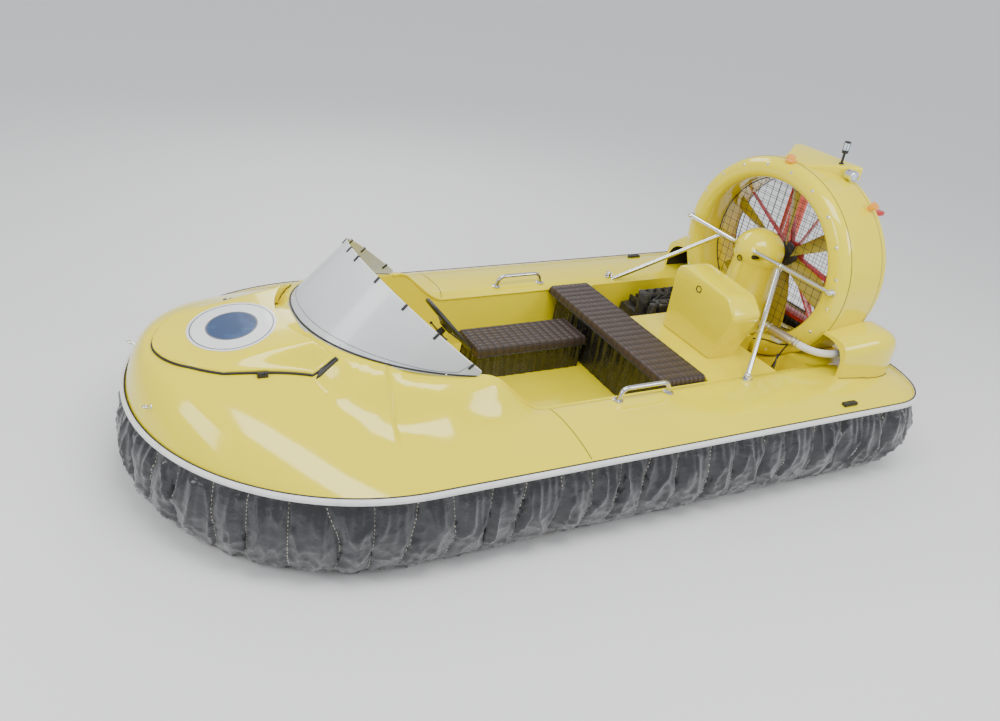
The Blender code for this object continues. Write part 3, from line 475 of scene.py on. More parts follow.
pipe_skin = worn_skin(
    "heat_stained_pipe", (0.46, 0.40, 0.30), (0.24, 0.16, 0.09), 0.3, 0.62, metal=0.8, scale=13.0,
    drift=1.0, relief=(RIPPLE, 0.0006, {"Scale": 120.0, "Fine": 900.0}),
)
wrap_skin = worn_skin(
    "wrapped_hose", (0.74, 0.73, 0.69), (0.50, 0.46, 0.38), 0.7, 0.9, scale=22.0, drift=0.7,
    relief=(RIPPLE, 0.0012, {"Scale": 240.0, "Fine": 1500.0}),
)
canister_skin = worn_skin(
    "white_canister", (0.78, 0.78, 0.76), (0.55, 0.54, 0.50), 0.3, 0.5, scale=20.0, coat=0.2
)
sealant_skin = worn_skin(
    "brown_sealant", (0.23, 0.13, 0.03), (0.12, 0.07, 0.02), 0.5, 0.8, scale=30.0, drift=0.9,
    relief=(RIPPLE, 0.001, {"Scale": 150.0, "Fine": 900.0}),
)
decal_white_skin = worn_skin(
    "white_roundel", (0.80, 0.80, 0.81), (0.70, 0.70, 0.70), 0.2, 0.35, scale=12.0, coat=0.4
)
decal_blue_skin = worn_skin(
    "blue_roundel", (0.018, 0.05, 0.14), (0.03, 0.10, 0.25), 0.2, 0.35, scale=9.0, coat=0.4, drift=1.0
)
decal_line_skin = worn_skin(
    "grey_roundel", (0.10, 0.11, 0.14), (0.2, 0.2, 0.22), 0.25, 0.4, scale=12.0, coat=0.3
)


def lens_skin(name, colour, glow):
    skin, tree, shader = new_skin(name, colour, 0.12, coat=0.5)
    shader.inputs["Transmission Weight"].default_value = 0.35
    shader.inputs["Emission Strength"].default_value = glow
    shader.inputs["Emission Color"].default_value = (*colour, 1.0)
    ribs = effect(tree, RIPPLE, Scale=160.0, Fine=900.0)
    add_relief(tree, shader, ribs, 0.0012)
    return skin


amber_skin = lens_skin("amber_lens", (0.85, 0.36, 0.012), 0.25)
clear_skin = lens_skin("clear_lens", (0.72, 0.84, 0.95), 0.10)


def film_skin():
    """Milky protective film over the windscreen sheet, with painted light: its colour grows lighter towards the top."""
    skin, tree, shader = new_skin("milky_film", (0.60, 0.64, 0.67), 0.20, coat=0.25)
    place = add_node(tree, "ShaderNodeTexCoord")
    apart = add_node(tree, "ShaderNodeSeparateXYZ")
    tree.links.new(place.outputs["Object"], apart.inputs["Vector"])
    # Painted light: this height ramp makes the film's colour lighter towards the top.
    height = ramp(tree, apart.outputs["Z"], 0.66, 1.06)
    patches = effect(tree, PATCHES, Scale=3.0, Spread=0.42)
    both = add_math(tree, "MULTIPLY_ADD", patches, 0.35)
    both.node.inputs[2].default_value = 0.0
    tree.links.new(height, both.node.inputs[2])
    tree.links.new(blend_colour(tree, both, (0.46, 0.50, 0.54), (0.66, 0.68, 0.69)), shader.inputs["Base Color"])
    tree.links.new(ramp(tree, patches, 0.0, 1.0, 0.16, 0.30), shader.inputs["Roughness"])
    add_relief(tree, shader, effect(tree, RIPPLE, Scale=7.0, Fine=60.0), 0.0012)
    return skin


film = film_skin()


def skirt_skin_made():
    """Shiny coated black cloth, with pale stitching along every seam of the UV map."""
    skin, tree, shader = new_skin("coated_black_cloth", (0.012, 0.013, 0.018), 0.24, coat=0.25)
    shader.inputs["Sheen Weight"].default_value = 0.25
    spot = add_node(tree, "ShaderNodeUVMap", uv_map="seams")
    apart = add_node(tree, "ShaderNodeSeparateXYZ")
    tree.links.new(spot.outputs["UV"], apart.inputs["Vector"])
    across = add_math(tree, "FRACT", apart.outputs["X"])
    off = add_math(tree, "ABSOLUTE", add_math(tree, "SUBTRACT", across, 0.5))
    near = ramp(tree, off, 0.492, 0.496)
    dash = add_math(tree, "FRACT", add_math(tree, "MULTIPLY", apart.outputs["Y"], 55.0))
    stitch = add_math(tree, "MULTIPLY", near, add_math(tree, "GREATER_THAN", dash, 0.5))
    patches = effect(tree, PATCHES, Scale=6.0, Spread=0.45)
    dusty = add_math(tree, "MULTIPLY", patches, 0.5)
    body = blend_colour(tree, dusty, (0.010, 0.011, 0.015), (0.030, 0.031, 0.036))
    low = add_math(tree, "MULTIPLY", ramp(tree, apart.outputs["Y"], 0.10, 0.0), patches)
    hem = blend_colour(tree, add_math(tree, "MULTIPLY", low, 0.6), body, (0.16, 0.14, 0.11))
    tree.links.new(blend_colour(tree, stitch, hem, (0.55, 0.50, 0.38)), shader.inputs["Base Color"])
    tree.links.new(ramp(tree, patches, 0.0, 1.0, 0.20, 0.38), shader.inputs["Roughness"])
    place = add_node(tree, "ShaderNodeTexCoord")
    weave = add_node(tree, "ShaderNodeTexWave", wave_type="BANDS", bands_direction="DIAGONAL")
    weave.inputs["Scale"].default_value = 160.0
    weave.inputs["Distortion"].default_value = 1.2
    tree.links.new(place.outputs["Object"], weave.inputs["Vector"])
    folds = effect(tree, RIPPLE, Scale=26.0, Fine=120.0)
    height = add_math(tree, "ADD", folds, add_math(tree, "MULTIPLY", weave.outputs["Fac"], 0.02))
    add_relief(tree, shader, height, 0.007)
    return skin


skirt_skin = skirt_skin_made()


def vinyl_skin():
    """Glossy black seat vinyl."""
    skin, tree, shader = new_skin("black_seat_vinyl", (0.014, 0.014, 0.017), 0.28, coat=0.15)
    grain = effect(tree, GRAIN, Scale=700.0)
    folds = effect(tree, RIPPLE, Scale=30.0, Fine=160.0)
    height = add_math(tree, "ADD", folds, add_math(tree, "MULTIPLY", grain, 0.10))
    add_relief(tree, shader, height, 0.004)
    patches = effect(tree, PATCHES, Scale=12.0, Spread=0.45)
    tree.links.new(blend_colour(tree, patches, (0.011, 0.011, 0.014), (0.028, 0.028, 0.032)), shader.inputs["Base Color"])
    tree.links.new(ramp(tree, patches, 0.0, 1.0, 0.22, 0.40), shader.inputs["Roughness"])
    return skin


def quilt_skin():
    """Dark brown seat top with fine stitched ribs, its colour painted darker in the stitch creases and lighter on the
    puffs as painted shade and painted highlight.
    """
    skin, tree, shader = new_skin("brown_quilted_vinyl", (0.05, 0.03, 0.024), 0.42)
    spot = add_node(tree, "ShaderNodeUVMap", uv_map="quilt")
    apart = add_node(tree, "ShaderNodeSeparateXYZ")
    tree.links.new(spot.outputs["UV"], apart.inputs["Vector"])
    waves = []
    for label in ("X", "Y"):
        turn = add_math(tree, "MULTIPLY", apart.outputs[label], math.pi)
        waves.append(add_math(tree, "ABSOLUTE", add_math(tree, "SINE", turn)))
    pillow = add_math(tree, "POWER", add_math(tree, "MULTIPLY", waves[0], waves[1]), 0.45)
    grain = effect(tree, GRAIN, Scale=600.0)
    height = add_math(tree, "ADD", pillow, add_math(tree, "MULTIPLY", grain, 0.06))
    add_relief(tree, shader, height, 0.0045)
    # Painted shade and painted highlight: the colour is darker along the stitch creases and lighter on top of the
    # puffs.
    tree.links.new(blend_colour(tree, pillow, (0.018, 0.012, 0.011), (0.062, 0.038, 0.030)), shader.inputs["Base Color"])
    tree.links.new(ramp(tree, pillow, 0.0, 1.0, 0.6, 0.36), shader.inputs["Roughness"])
    return skin


seat_side_skin = vinyl_skin()
seat_top_skin = quilt_skin()


# Making pieces
def as_piece(name, bm, skin, body="hull", smooth=True, sharp=38.0, tidy=True):
    """Turn a bmesh into a named piece that rides on a body of the frame."""
    if tidy:
        bmesh.ops.remove_doubles(bm, verts=bm.verts, dist=1e-6)
        bmesh.ops.recalc_face_normals(bm, faces=bm.faces)
    data = bpy.data.meshes.new(name)
    bm.to_mesh(data)
    bm.free()
    for face in data.polygons:
        face.use_smooth = smooth
    if smooth:
        data.set_sharp_from_angle(angle=math.radians(sharp))
    thing = bpy.data.objects.new(name, data)
    bpy.context.scene.collection.objects.link(thing)
    skins = skin if isinstance(skin, (list, tuple)) else [skin]
    for one in skins:
        data.materials.append(one)
    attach(thing, body)
    return thing


def paint(bm, count_before, index):
    """Give the faces made since count_before another of the piece's skins."""
    bm.faces.ensure_lookup_table()
    for face in bm.faces[count_before:]:
        face.material_index = index


def block(bm, low, high, rim=0.0, steps=2, turn=None):
    low = Vector(low)
    high = Vector(high)
    matrix = Matrix.Translation((low + high) / 2)
    if turn is not None:
        matrix = matrix @ turn
    matrix = matrix @ Matrix.Diagonal((*(high - low), 1.0))
    made = bmesh.ops.create_cube(bm, size=1.0, matrix=matrix)["verts"]
    if rim > 0.0:
        edges = {edge for vert in made for edge in vert.link_edges}
        bmesh.ops.bevel(
            bm, geom=list(edges), offset=rim, offset_type="OFFSET", segments=steps,
            affect="EDGES", profile=0.5, material=-1,
        )


def rod(bm, start, end, radius, sides=16, end_radius=None, rim=0.0, steps=2):
    start = Vector(start)
    end = Vector(end)
    axis = end - start
    matrix = Matrix.Translation((start + end) / 2) @ axis.to_track_quat("Z", "Y").to_matrix().to_4x4()
    last = radius if end_radius is None else end_radius
    made = bmesh.ops.create_cone(
        bm, cap_ends=True, segments=sides, radius1=radius, radius2=last, depth=axis.length, matrix=matrix
    )["verts"]
    if rim > 0.0:
        faces = {face for vert in made for face in vert.link_faces if len(face.verts) > 4}
        edges = {edge for face in faces for edge in face.edges}
        bmesh.ops.bevel(
            bm, geom=list(edges), offset=rim, offset_type="OFFSET", segments=steps,
            affect="EDGES", profile=0.5, material=-1,
        )


def ball(bm, at, radius, u=16, v=10, stretch=(1.0, 1.0, 1.0)):
    matrix = Matrix.Translation(at) @ Matrix.Diagonal((*stretch, 1.0))
    bmesh.ops.create_uvsphere(bm, u_segments=u, v_segments=v, radius=radius, matrix=matrix)


def turned(bm, profile, at, axis, steps=48, closed=True):
    """Spin a profile of (along, out) about an axis through a point."""
    at = Vector(at)
    axis = Vector(axis).normalized()
    side = axis.orthogonal().normalized()
    points = [bm.verts.new(at + axis * along + side * out) for along, out in profile]
    edges = [bm.edges.new(pair) for pair in zip(points, points[1:])]
    if closed:
        edges.append(bm.edges.new((points[-1], points[0])))
    bmesh.ops.spin(
        bm, geom=points + edges, cent=at, axis=axis, angle=2.0 * math.pi, steps=steps,
        use_merge=True, use_duplicate=False,
    )


def sheet(bm, across, along, place):
    """Grid laid by a rule that takes two shares from 0 to 1 and gives a point."""
    made = bmesh.ops.create_grid(bm, x_segments=across, y_segments=along, size=0.5)["verts"]
    for vert in made:
        vert.co = place(vert.co.x + 0.5, vert.co.y + 0.5)
    return made


def slab(bm, corners, low, high, axis="z", rim=0.0, steps=2):
    """Plate over a flat outline, pushed from low to high along an axis, with a rounded rim."""
    def place(p, h):
        if axis == "z":
            return (p[0], p[1], h)
        if axis == "x":
            return (h, p[0], p[1])
        return (p[0], h, p[1])

    start = bm.faces.new([bm.verts.new(place(p, low)) for p in corners])
    got = bmesh.ops.extrude_face_region(bm, geom=[start])["geom"]
    moved = [item for item in got if isinstance(item, bmesh.types.BMVert)]
    shift = Vector(place((0.0, 0.0), high - low))
    bmesh.ops.translate(bm, verts=moved, vec=shift)
    if rim > 0.0:
        caps = [start] + [item for item in got if isinstance(item, bmesh.types.BMFace)]
        edges = {edge for cap in caps for edge in cap.edges}
        bmesh.ops.bevel(
            bm, geom=list(edges), offset=rim, offset_type="OFFSET", segments=steps,
            affect="EDGES", profile=0.5, material=-1,
        )


def smooth_path(points, steps=8, closed=False):
    """Points along a smooth curve through the given ones."""
    points = [Vector(p) for p in points]
    count = len(points)
    result = []
    for i in range(count if closed else count - 1):
        if closed:
            a, b, c, d = (points[(i + k) % count] for k in (-1, 0, 1, 2))
        else:
            a, b, c, d = (points[min(max(i + k, 0), count - 1)] for k in (-1, 0, 1, 2))
        for k in range(steps):
            t = k / steps
            p = b * 2 + (c - a) * t + (a * 2 - b * 5 + c * 4 - d) * t * t + (b * 3 - a - c * 3 + d) * t**3
            result.append(p * 0.5)
    if not closed:
        result.append(points[-1])
    return result


def pipe(name, points, radius, skin, body="hull", closed=False, round_steps=3):
    """Round tube along points, as a curve with a bevel."""
    curve = bpy.data.curves.new(name, "CURVE")
    curve.dimensions = "3D"
    curve.bevel_depth = radius
    curve.bevel_resolution = round_steps
    curve.use_fill_caps = not closed
    groups = points if isinstance(points[0], list) else [points]
    for group in groups:
        spline = curve.splines.new("POLY")
        spline.points.add(len(group) - 1)
        for spot, point in zip(spline.points, group):
            spot.co = (*point, 1.0)
        spline.use_cyclic_u = closed
        spline.use_smooth = True
    thing = bpy.data.objects.new(name, curve)
    bpy.context.scene.collection.objects.link(thing)
    curve.materials.append(skin)
    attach(thing, body)
    return thing


def add_tube(bm, points, radius, sides=8, cap=True):
    """Tube inside a bmesh: a ring is extruded from point to point."""
    points = [Vector(p) for p in points]
    side = None
    last = None
    first = None
    for i, point in enumerate(points):
        ahead = points[min(i + 1, len(points) - 1)] - points[max(i - 1, 0)]
        ahead.normalize()
        if side is None:
            side = ahead.orthogonal().normalized()
        side = (side - ahead * side.dot(ahead)).normalized()
        other = ahead.cross(side)
        spots = []
        for j in range(sides):
            a = 2.0 * math.pi * j / sides
            spots.append(point + side * radius * math.cos(a) + other * radius * math.sin(a))
        if last is None:
            ring = [bm.verts.new(spot) for spot in spots]
            last = [bm.edges.new((ring[j], ring[(j + 1) % sides])) for j in range(sides)]
            first = ring
            continue
        got = bmesh.ops.extrude_edge_only(bm, edges=last)["geom"]
        ring = [item for item in got if isinstance(item, bmesh.types.BMVert)]
        last = [item for item in got if isinstance(item, bmesh.types.BMEdge) and all(v in ring for v in item.verts)]
        for vert, spot in zip(ring, spots):
            vert.co = spot
    if cap:
        bm.faces.new(first)
        bmesh.ops.contextual_create(bm, geom=last)


def carve(thing, forms, solver="EXACT"):
    """Apply Boolean forms given as (operation, bmesh) and keep the result as the mesh."""
    helpers = []
    for number, (operation, form) in enumerate(forms):
        data = bpy.data.meshes.new("form")
        bmesh.ops.recalc_face_normals(form, faces=form.faces)
        form.to_mesh(data)
        form.free()
        helper = bpy.data.objects.new(f"form_{number}", data)
        bpy.context.scene.collection.objects.link(helper)
        mod = thing.modifiers.new(f"form_{number}", "BOOLEAN")
        mod.operation = operation
        mod.solver = solver
        mod.object = helper
        helpers.append(helper)
    bpy.context.view_layer.update()
    graph = bpy.context.evaluated_depsgraph_get()
    made = bpy.data.meshes.new_from_object(thing.evaluated_get(graph))
    thing.modifiers.clear()
    old = thing.data
    thing.data = made
    bpy.data.meshes.remove(old)
    for helper in helpers:
        bpy.data.objects.remove(helper, do_unlink=True)
    return thing


def soften(thing, sharp=38.0):
    for face in thing.data.polygons:
        face.use_smooth = True
    thing.data.set_sharp_from_angle(angle=math.radians(sharp))


def rounded(corners, radius, steps=5):
    """Flat outline with each corner rounded; radius is one number or one per corner."""
    corners = [Vector(c) for c in corners]
    result = []
    for i, corner in enumerate(corners):
        r = radius[i] if isinstance(radius, (list, tuple)) else radius
        if r <= 0.0:
            result.append(tuple(corner))
            continue
        back = (corners[i - 1] - corner).normalized() * r
        on = (corners[(i + 1) % len(corners)] - corner).normalized() * r
        for k in range(steps + 1):
            t = k / steps
            result.append(tuple(corner + back * (1 - t) ** 2 + on * t**2))
    return result


def bent(corners, bend, steps=8):
    """Path through points with each inner corner rounded."""
    corners = [Vector(c) for c in corners]
    path = [corners[0]]
    for i in range(1, len(corners) - 1):
        back = (corners[i - 1] - corners[i]).normalized() * bend
        on = (corners[i + 1] - corners[i]).normalized() * bend
        for k in range(steps + 1):
            t = k / steps
            path.append(corners[i] + back * (1 - t) ** 2 + on * t**2)
    path.append(corners[-1])
    return path


# Camera at the photograph's place
CAMERA_AT = (2.3160, 3.1479, 2.6058)
CAMERA_YAW = math.radians(-114.314)
CAMERA_PITCH = math.radians(-24.422)
CAMERA_ROLL = math.radians(6.562)
PHOTO_WIDE = 1000
PHOTO_TALL = 721
FOCAL_PIXELS = 838.195
CENTRE_U = 376.207
CENTRE_V = 254.396


def set_camera():
    flat = math.cos(CAMERA_PITCH)
    ahead = Vector((math.cos(CAMERA_YAW) * flat, math.sin(CAMERA_YAW) * flat, math.sin(CAMERA_PITCH)))
    right = ahead.cross(Vector((0, 0, 1))).normalized()
    up = right.cross(ahead)
    right_rolled = right * math.cos(CAMERA_ROLL) + up * math.sin(CAMERA_ROLL)
    up_rolled = up * math.cos(CAMERA_ROLL) - right * math.sin(CAMERA_ROLL)
    data = bpy.data.cameras.new("photo_camera")
    data.sensor_fit = "HORIZONTAL"
    data.sensor_width = 36.0
    data.lens = 36.0 * FOCAL_PIXELS / PHOTO_WIDE
    data.shift_x = (PHOTO_WIDE / 2 - CENTRE_U) / PHOTO_WIDE
    data.shift_y = (CENTRE_V - PHOTO_TALL / 2) / PHOTO_WIDE
    data.clip_start = 0.05
    data.clip_end = 200.0
    camera = bpy.data.objects.new("photo_camera", data)
    turn = Matrix((right_rolled, up_rolled, -ahead)).transposed().to_4x4()
    camera.matrix_world = Matrix.Translation(CAMERA_AT) @ turn
    bpy.context.scene.collection.objects.link(camera)
    bpy.context.scene.camera = camera


set_camera()


# Hull: the deck moulding over its tub, with rounded openings
def deck_grid(across=110):
    """Rows of x stations, close together at the bow, stern and shoulder crease."""
    stations = []
    tail = STERN_X + CORNER_LONG
    for i in range(17):
        stations.append(STERN_X + CORNER_LONG * (1.0 - math.cos(0.5 * math.pi * i / 16)))
    for i in range(1, 31):
        stations.append(tail + (0.10 - tail) * i / 30)
    for i in range(1, 43):
        stations.append(0.10 + (0.92 - 0.10) * i / 42)
    for i in range(1, 31):
        stations.append(0.92 + (1.06 - 0.92) * i / 30)
    for i in range(1, 49):
        stations.append(1.06 + (BOW_X - 0.0008 - 1.06) * math.sin(0.5 * math.pi * i / 48) ** 0.9)
    return stations, across


def hull_shell():
    stations, across = deck_grid()
    bm = bmesh.new()
    last = len(stations) - 1

    def on_deck(u, v):
        x = stations[min(last, max(0, round(v * last)))]
        s = math.sin((2.0 * u - 1.0) * math.pi / 2 * 0.9) / math.sin(math.pi / 2 * 0.9)
        y = half_width(x) * s
        return Vector((x, y, deck_z(x, y)))

    sheet(bm, across, last, on_deck)
    rim = [edge for edge in bm.edges if edge.is_boundary]
    got = bmesh.ops.extrude_edge_only(bm, edges=rim)["geom"]
    for item in got:
        if isinstance(item, bmesh.types.BMVert):
            item.co.z = 0.410
    rim = [edge for edge in bm.edges if edge.is_boundary]
    bmesh.ops.holes_fill(bm, edges=rim, sides=0)
    shell = as_piece("hull_shell", bm, gel_skin)
    forms = []
    form = bmesh.new()
    rings = []
    for inset, z in ((0.150, 0.420), (0.165, 0.30), (0.230, 0.17), (0.270, HULL_BOTTOM_Z)):
        rings.append([(p.x, p.y, z) for p, n in outline(inset, 24, 8, 8)])
    skin_rings(form, rings)
    forms.append(("UNION", form))
    form = bmesh.new()
    well = rounded(COCKPIT, 0.05, 6)
    levels = ((FLOOR_Z, 0.985), (FLOOR_Z + 0.012, 1.0), (0.36, 1.03), (0.44, 1.073), (1.3, 1.08))
    skin_rings(form, [[(x, y * wide, z) for x, y in well] for z, wide in levels])
    forms.append(("DIFFERENCE", form))
    wells = (
        ([(-1.42, -0.535), (-0.79, -0.535), (-0.79, -0.17), (-1.42, -0.17)], 0.03, 0.20, 0.8),
        ([(-1.43, 0.17), (-1.255, 0.17), (-1.255, 0.535), (-1.43, 0.535)], 0.02, 0.25, 0.8),
        ([(-1.43, -0.20), (-0.79, -0.20), (-0.79, 0.535), (-1.43, 0.535)], 0.012, 0.440, 0.8),
        ([(1.42, -0.24), (1.74, -0.20), (1.74, 0.20), (1.42, 0.24)], 0.05, 0.50, 1.0),
    )
    for corners, bend, low, high in wells:
        form = bmesh.new()
        slab(form, rounded(corners, bend, 4), low, high)
        forms.append(("DIFFERENCE", form))
    form = bmesh.new()
    rod(form, (DUCT_END_X - 0.006, 0, DUCT_Z), (-1.415, 0, DUCT_Z), DUCT_R + 0.0006, 128)
    forms.append(("DIFFERENCE", form))
    form = bmesh.new()
    rod(form, (-2.2, 0, DUCT_Z), (-1.76, 0, DUCT_Z), 0.47, 128)
    forms.append(("DIFFERENCE", form))
    carve(shell, forms)
    soften(shell, 32.0)
    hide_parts("hull")
    return shell


def skin_rings(bm, rings):
    """Join rings of points one after another and close both ends."""
    loops = []
    for ring in rings:
        points = [bm.verts.new(p) for p in ring]
        count = len(points)
        loops.append([bm.edges.new((points[i], points[(i + 1) % count])) for i in range(count)])
    for low, high in zip(loops, loops[1:]):
        bmesh.ops.bridge_loops(bm, edges=low + high)
    for end in (loops[0], loops[-1]):
        bmesh.ops.contextual_create(bm, geom=end)


COCKPIT = [(-0.80, -0.50), (0.42, -0.50), (0.58, -0.455), (0.80, -0.40), (0.86, -0.28)]
COCKPIT += [(0.86, 0.28), (0.80, 0.40), (0.58, 0.455), (0.42, 0.50), (-0.80, 0.50)]

hull_shell()


def deck_line(points, lift=0.0, steps=6):
    """Plan points carried up onto the deck."""
    result = []
    for p in smooth_path([(x, y, 0.0) for x, y in points], steps):
        result.append(Vector((p.x, p.y, deck_z(p.x, p.y) + lift)))
    return result


def coaming_bead():
    """Rounded yellow lip along the cockpit's side edges."""
    runs = []
    for side in (1, -1):
        run = []
        for i in range(60):
            x = -0.795 + (0.56 + 0.795) * i / 59
            y = side * coaming_y(x)
            run.append(Vector((x, y, deck_z(x, y) - 0.003)))
        runs.append(run)
    bead = pipe("coaming_bead", runs, 0.007, gel_skin)


def coaming_y(x):
    if x <= 0.42:
        return 0.5373
    return 0.5373 - 0.0485 * (x - 0.42) / 0.16


coaming_bead()


def moulding_seam():
    """Fine dark joint where the bow moulding laps the side decks."""
    runs = []
    for side in (1, -1):
        points = [(0.215, side * 0.545), (0.197, side * 0.62), (0.192, side * 0.74), (0.190, side * 0.895)]
        runs.append(deck_line(points, 0.0002))
    pipe("bow_moulding_seam", runs, 0.0016, seam_skin)
    runs = []
    for side in (1, -1):
        points = [(0.222, side * 0.545), (0.204, side * 0.62), (0.199, side * 0.74), (0.197, side * 0.895)]
        runs.append(deck_line(points, -0.0012))
    lip = pipe("bow_moulding_lip", runs, 0.0042, gel_skin)


moulding_seam()


# Rub rail: the CAD strip stays, with the black joints above and below it
def rail_seams():
    for name, z, out, radius in (
        ("rail_seam_top", RAIL_Z + 0.0125, 0.0035, 0.0032),
        ("rail_seam_low", RAIL_Z - 0.0135, 0.0060, 0.0034),
    ):
        path = [Vector((p.x + n.x * out, p.y + n.y * out, z)) for p, n in outline(0.0, 60, 28, 18)]
        pipe(name, path, radius, seam_skin, closed=True, round_steps=2)


rail_seams()


# Skirt of gathered fingers
FINGER = 0.165


def skirt_profile(t):
    """Outward reach and height of the skirt from the rail, t = 0, to the hem, t = 1."""
    z = 0.4085 * (1.0 - t) + 0.003 * t
    out = -0.024 + 0.052 * math.sin(math.pi * min(1.0, t * 1.08 + 0.04)) ** 0.85
    if t > 0.86:
        out -= 0.040 * ((t - 0.86) / 0.14) ** 1.4
    return out, z


def skirt_cloth():
    path = outline(0.0, 90, 40, 60)
    points = [p for p, n in path]
    normals = [n for p, n in path]
    count = len(points)
    lengths = [0.0]
    for i in range(count):
        lengths.append(lengths[-1] + (points[(i + 1) % count] - points[i]).length)
    around = lengths[-1]
    fingers = round(around / FINGER)

    def at(distance):
        distance %= around
        low = 0
        high = count
        while high - low > 1:
            middle = (low + high) // 2
            if lengths[middle] <= distance:
                low = middle
            else:
                high = middle
        t = (distance - lengths[low]) / (lengths[low + 1] - lengths[low])
        p = points[low].lerp(points[(low + 1) % count], t)
        n = normals[low].lerp(normals[(low + 1) % count], t).normalized()
        return p, n

    bm = bmesh.new()
    seams = bm.loops.layers.uv.new("seams")
    columns = 1560
    rows = 34
    marks = {}

    def drape(u, v):
        distance = u * around
        t = 1.0 - v
        ring = Vector((math.cos(2 * math.pi * u), math.sin(2 * math.pi * u), 0.0))
        sway = noise.noise(ring * 7.0 + Vector((0, 0, t * 1.3))) * 0.38
        cell = u * fingers + sway
        phase = cell - math.floor(cell)
        tuck = abs(math.sin(math.pi * phase)) ** 0.55
        p, n = at(distance)
        out, z = skirt_profile(t)
        spot = Vector((p.x * 6.0, p.y * 6.0, z * 3.0))
        side_fold = 1.0 - abs(noise.noise(Vector((p.x * 15.0, p.y * 15.0, z * 5.0 + cell * 0.21))))
        cross_fold = 1.0 - abs(noise.noise(spot * 2.2 + Vector((3.1, 0.7, z * 12.0))))
        gather = math.sin(2 * math.pi * distance / 0.043 + 3.0 * noise.noise(ring * 20.0))
        swell = 0.020 * math.sin(math.pi * min(1.0, t * 1.15)) ** 0.8 + 0.004
        reach = out + swell * (tuck * 1.7 - 1.0)
        reach += 0.020 * (side_fold**5 - 0.45) * math.sin(math.pi * min(1.0, t + 0.08)) ** 0.6
        reach += 0.014 * (cross_fold**6 - 0.35) * t
        reach += 0.0035 * gather * (1.0 - t) ** 2
        reach = min(reach, 0.0475)
        slip = 0.016 * noise.noise(spot * 1.7 + Vector((9.0, 2.0, 0.0))) * t
        along = Vector((-n.y, n.x))
        z += 0.034 * t**5 * max(0.0, noise.noise(ring * 30.0) + 0.25) + 0.016 * t**6 * (1.0 - tuck)
        if t < 0.06:
            reach = min(reach, -0.004)
        spot = p + n * reach + along * slip
        return Vector((spot.x, spot.y, max(z, 0.0035)))

    made = sheet(bm, columns, rows, lambda u, v: Vector((u, v, 0.0)))
    for vert in made:
        marks[vert] = (vert.co.x, vert.co.y)
    for face in bm.faces:
        for loop in face.loops:
            u, v = marks[loop.vert]
            ring = Vector((math.cos(2 * math.pi * u), math.sin(2 * math.pi * u), 0.0))
            sway = noise.noise(ring * 7.0 + Vector((0, 0, (1.0 - v) * 1.3))) * 0.38
            loop[seams].uv = (u * fingers + sway, v * 0.42)
    for vert, (u, v) in marks.items():
        vert.co = drape(u % 1.0, v)
    bmesh.ops.remove_doubles(bm, verts=bm.verts, dist=1e-6)
    cloth = as_piece("skirt_cloth", bm, skirt_skin, sharp=75.0, tidy=False)
    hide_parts("skirt_bow", "skirt_port", "skirt_starboard", "skirt_stern")
    return cloth


skirt_cloth()


# Floor and soft studio light
def stage_floor():
    bm = bmesh.new()
    bmesh.ops.create_grid(bm, x_segments=1, y_segments=1, size=60.0, matrix=Matrix.Translation((0, 0, -0.0005)))
    skin, tree, shader = new_skin("studio_floor", (0.86, 0.86, 0.86), 0.55)
    data = bpy.data.meshes.new("studio_floor")
    bm.to_mesh(data)
    bm.free()
    floor = bpy.data.objects.new("studio_floor", data)
    data.materials.append(skin)
    bpy.context.scene.collection.objects.link(floor)


def soft_lamp(name, at, toward, wide, tall, power, colour=(1.0, 1.0, 1.0)):
    data = bpy.data.lights.new(name, "AREA")
    data.shape = "RECTANGLE"
    data.size = wide
    data.size_y = tall
    data.energy = power
    data.color = colour
    lamp = bpy.data.objects.new(name, data)
    lamp.location = at
    lamp.rotation_mode = "QUATERNION"
    lamp.rotation_quaternion = (Vector(toward) - Vector(at)).to_track_quat("-Z", "Y")
    bpy.context.scene.collection.objects.link(lamp)


def stage_light():
    world = bpy.data.worlds.new("studio_world")
    world.use_nodes = True
    back = world.node_tree.nodes["Background"]
    back.inputs["Color"].default_value = (0.95, 0.97, 1.0, 1.0)
    back.inputs["Strength"].default_value = 0.85
    bpy.context.scene.world = world
    soft_lamp("overhead_light", (0.6, 1.6, 4.6), (0.0, 0.3, 0.4), 3.4, 1.6, 150.0)
    soft_lamp("bow_light", (4.6, 1.2, 3.0), (0.6, 0.2, 0.5), 1.6, 2.0, 70.0)
    soft_lamp("stern_light", (-3.2, 3.4, 3.2), (-1.2, 0.3, 0.7), 1.8, 1.4, 60.0)
    soft_lamp("far_light", (-0.5, -4.2, 3.4), (0.0, 0.0, 0.5), 3.0, 1.2, 70.0)


stage_floor()
stage_light()


# Bow hatch lid with its gasket, latch and roundel
def lid_spot(u, v, lift=0.0):
    """Point of the lid's outer face: u from starboard to port, v from rear to nose."""
    s = 2.0 * u - 1.0
    s = math.copysign(abs(s) ** 0.8, s)
    rear = screen_front(LID_REAR_HALF * s) + 0.07
    y = LID_REAR_HALF * s
    x = rear
    for turn in range(4):
        x = rear + (LID_NOSE_X - 0.002 - 0.24 * abs(s) ** 5 - rear) * v
        y = lid_half(x) * s
    return Vector((x, y, lid_z(x, y) + lift))


